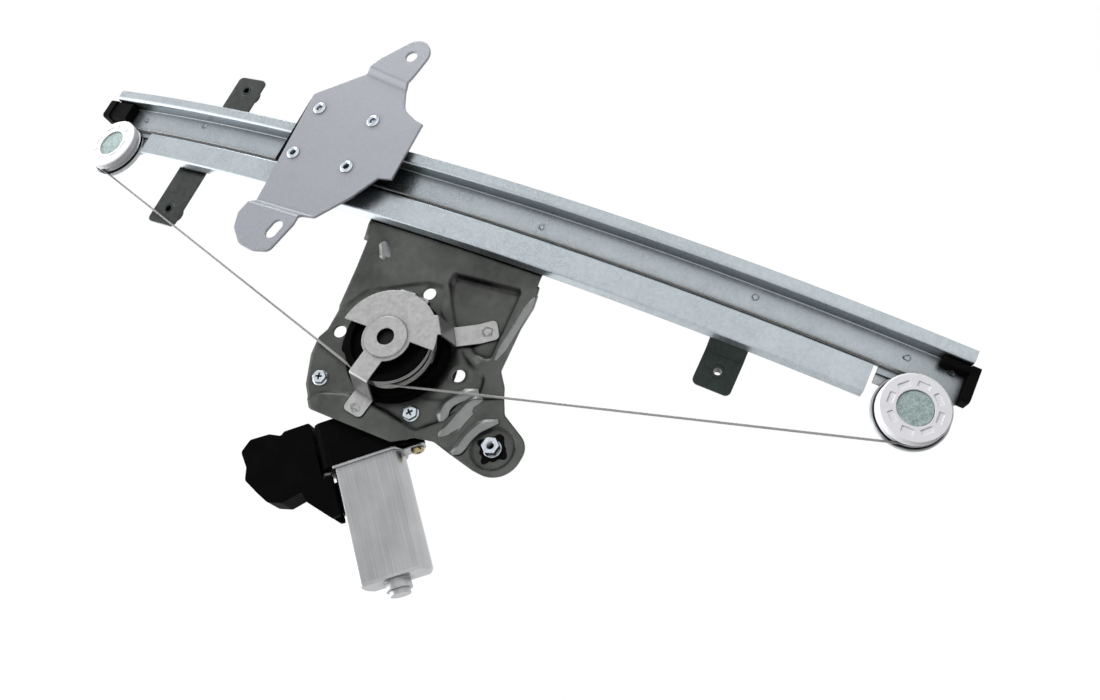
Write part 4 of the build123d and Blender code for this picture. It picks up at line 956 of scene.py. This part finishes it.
def band_of_light(tree, direction, edge, low, high):
    """Rises smoothly from low to high as a ray turns towards the direction, by the cosines of its edge."""
    place = new_node(tree, "ShaderNodeTexCoord").outputs["Generated"]
    turn = new_node(
        tree, "ShaderNodeVectorMath", {0: place, 1: towards(*direction)}, operation="DOT_PRODUCT")
    return ramp(tree, turn.outputs["Value"], *edge, low, high, "SMOOTHSTEP")


def background_rays(tree):
    """1 for the rays that show the white background: from the camera, through glass or off metal."""
    path = new_node(tree, "ShaderNodeLightPath").outputs
    return outermost(tree, "MAXIMUM", [
        path["Is Camera Ray"], path["Is Transmission Ray"], path["Is Glossy Ray"]])


def floor_material():
    """White to the eye and to reflections, with the part's soft shadow left on it."""
    material = bpy.data.materials.new("floor_paper")
    material.use_nodes = True
    tree = material.node_tree
    tree.nodes.clear()
    level = maths(tree, "MULTIPLY", background_rays(tree), FLOOR_GLOW)
    paper = new_node(tree, "ShaderNodeBsdfDiffuse", {"Color": grey(FLOOR_GREY)})
    glow = new_node(tree, "ShaderNodeEmission", {"Color": grey(1.0), "Strength": level})
    both = new_node(tree, "ShaderNodeAddShader", {0: paper.outputs[0], 1: glow.outputs[0]})
    new_node(tree, "ShaderNodeOutputMaterial", {"Surface": both.outputs[0]})
    return material


class REGULATOR_OT_stage(bpy.types.Operator):
    """Set the pale floor, the soft lamps and the camera"""

    bl_idname = "regulator.stage"
    bl_label = "Stage"

    def execute(self, context):
        settings = context.scene.regulator_stage
        middle = (cad_box[0] + cad_box[1]) / 2
        view = bpy.data.objects.new("camera", bpy.data.cameras.new("camera"))
        turn = Matrix((PICTURE_RIGHT, PICTURE_UP, -PICTURE_AHEAD)).transposed().to_4x4()
        view.matrix_world = Matrix.Translation(CAMERA_PLACE) @ turn
        view.data.lens = settings.focal
        view.data.sensor_width = SENSOR_WIDTH
        view.data.shift_x, view.data.shift_y = PICTURE_SHIFT
        context.scene.collection.objects.link(view)
        context.scene.camera = view

        for name, values in LAMPS.items():
            lamp = bpy.data.objects.new(name, bpy.data.lights.new(name, "AREA"))
            lamp.data.energy = settings.key * values["share"]
            lamp.data.size = values["size"]
            direction = towards(*values["direction"])
            lamp.matrix_world = (
                Matrix.Translation(middle + direction * LAMP_DISTANCE)
                @ (-direction).to_track_quat("-Z", "Y").to_matrix().to_4x4())
            lamp.visible_glossy = values["mirrored"]
            context.scene.collection.objects.link(lamp)

        bpy.ops.object.select_all(action="DESELECT")
        bpy.ops.mesh.primitive_plane_add(
            size=FLOOR_SIZE, location=(middle.x, middle.y, cad_box[0].z - settings.floor_drop))
        bpy.ops.object.transform_apply(location=True, rotation=False, scale=False)
        floor = context.object
        floor.name = "floor"
        floor.data.materials.append(floor_material())

        world = bpy.data.worlds.new("studio")
        context.scene.world = world
        world.use_nodes = True
        tree = world.node_tree
        window = band_of_light(tree, WINDOW_DIRECTION, WINDOW_EDGE, settings.dark_side, settings.window)
        softbox = band_of_light(tree, SOFTBOX_DIRECTION, SOFTBOX_EDGE, settings.dark_side, settings.softbox)
        sky = tree.nodes["Background"].inputs
        feed(tree, sky["Color"], grey(1.0))
        feed(tree, sky["Strength"], outermost(tree, "MAXIMUM", [window, softbox, background_rays(tree)]))
        context.scene.view_settings.view_transform = "Standard"
        return {"FINISHED"}


class REGULATOR_PT_panel(bpy.types.Panel):
    """Lists the regulator's pieces and sizes"""

    bl_idname = "REGULATOR_PT_panel"
    bl_label = "Window Regulator"
    bl_space_type = "VIEW_3D"
    bl_region_type = "UI"
    bl_category = "Regulator"

    def draw(self, context):
        layout = self.layout
        for operator in OPERATORS:
            layout.operator(operator.bl_idname)
        for name in ("regulator_stage", "regulator_rope"):
            settings = getattr(context.scene, name)
            for prop in settings.bl_rna.properties:
                if prop.identifier not in ("rna_type", "name"):
                    layout.prop(settings, prop.identifier)


OPERATORS = (
    REGULATOR_OT_finishes, REGULATOR_OT_ropes, REGULATOR_OT_motor_screws, REGULATOR_OT_can_screws,
    REGULATOR_OT_carrier_rivets, REGULATOR_OT_plate_nut, REGULATOR_OT_plate_ridges, REGULATOR_OT_stage)
CLASSES = (RegulatorStage, RegulatorRope) + OPERATORS + (REGULATOR_PT_panel,)


def register():
    for cls in CLASSES:
        bpy.utils.register_class(cls)
    bpy.types.Scene.regulator_stage = bpy.props.PointerProperty(type=RegulatorStage)
    bpy.types.Scene.regulator_rope = bpy.props.PointerProperty(type=RegulatorRope)


def unregister():
    del bpy.types.Scene.regulator_rope
    del bpy.types.Scene.regulator_stage
    for cls in reversed(CLASSES):
        bpy.utils.unregister_class(cls)


def main():
    """Makes every piece."""
    register()
    for operator in OPERATORS:
        family, action = operator.bl_idname.split(".")
        getattr(getattr(bpy.ops, family), action)()


if __name__ == "__main__":
    main()
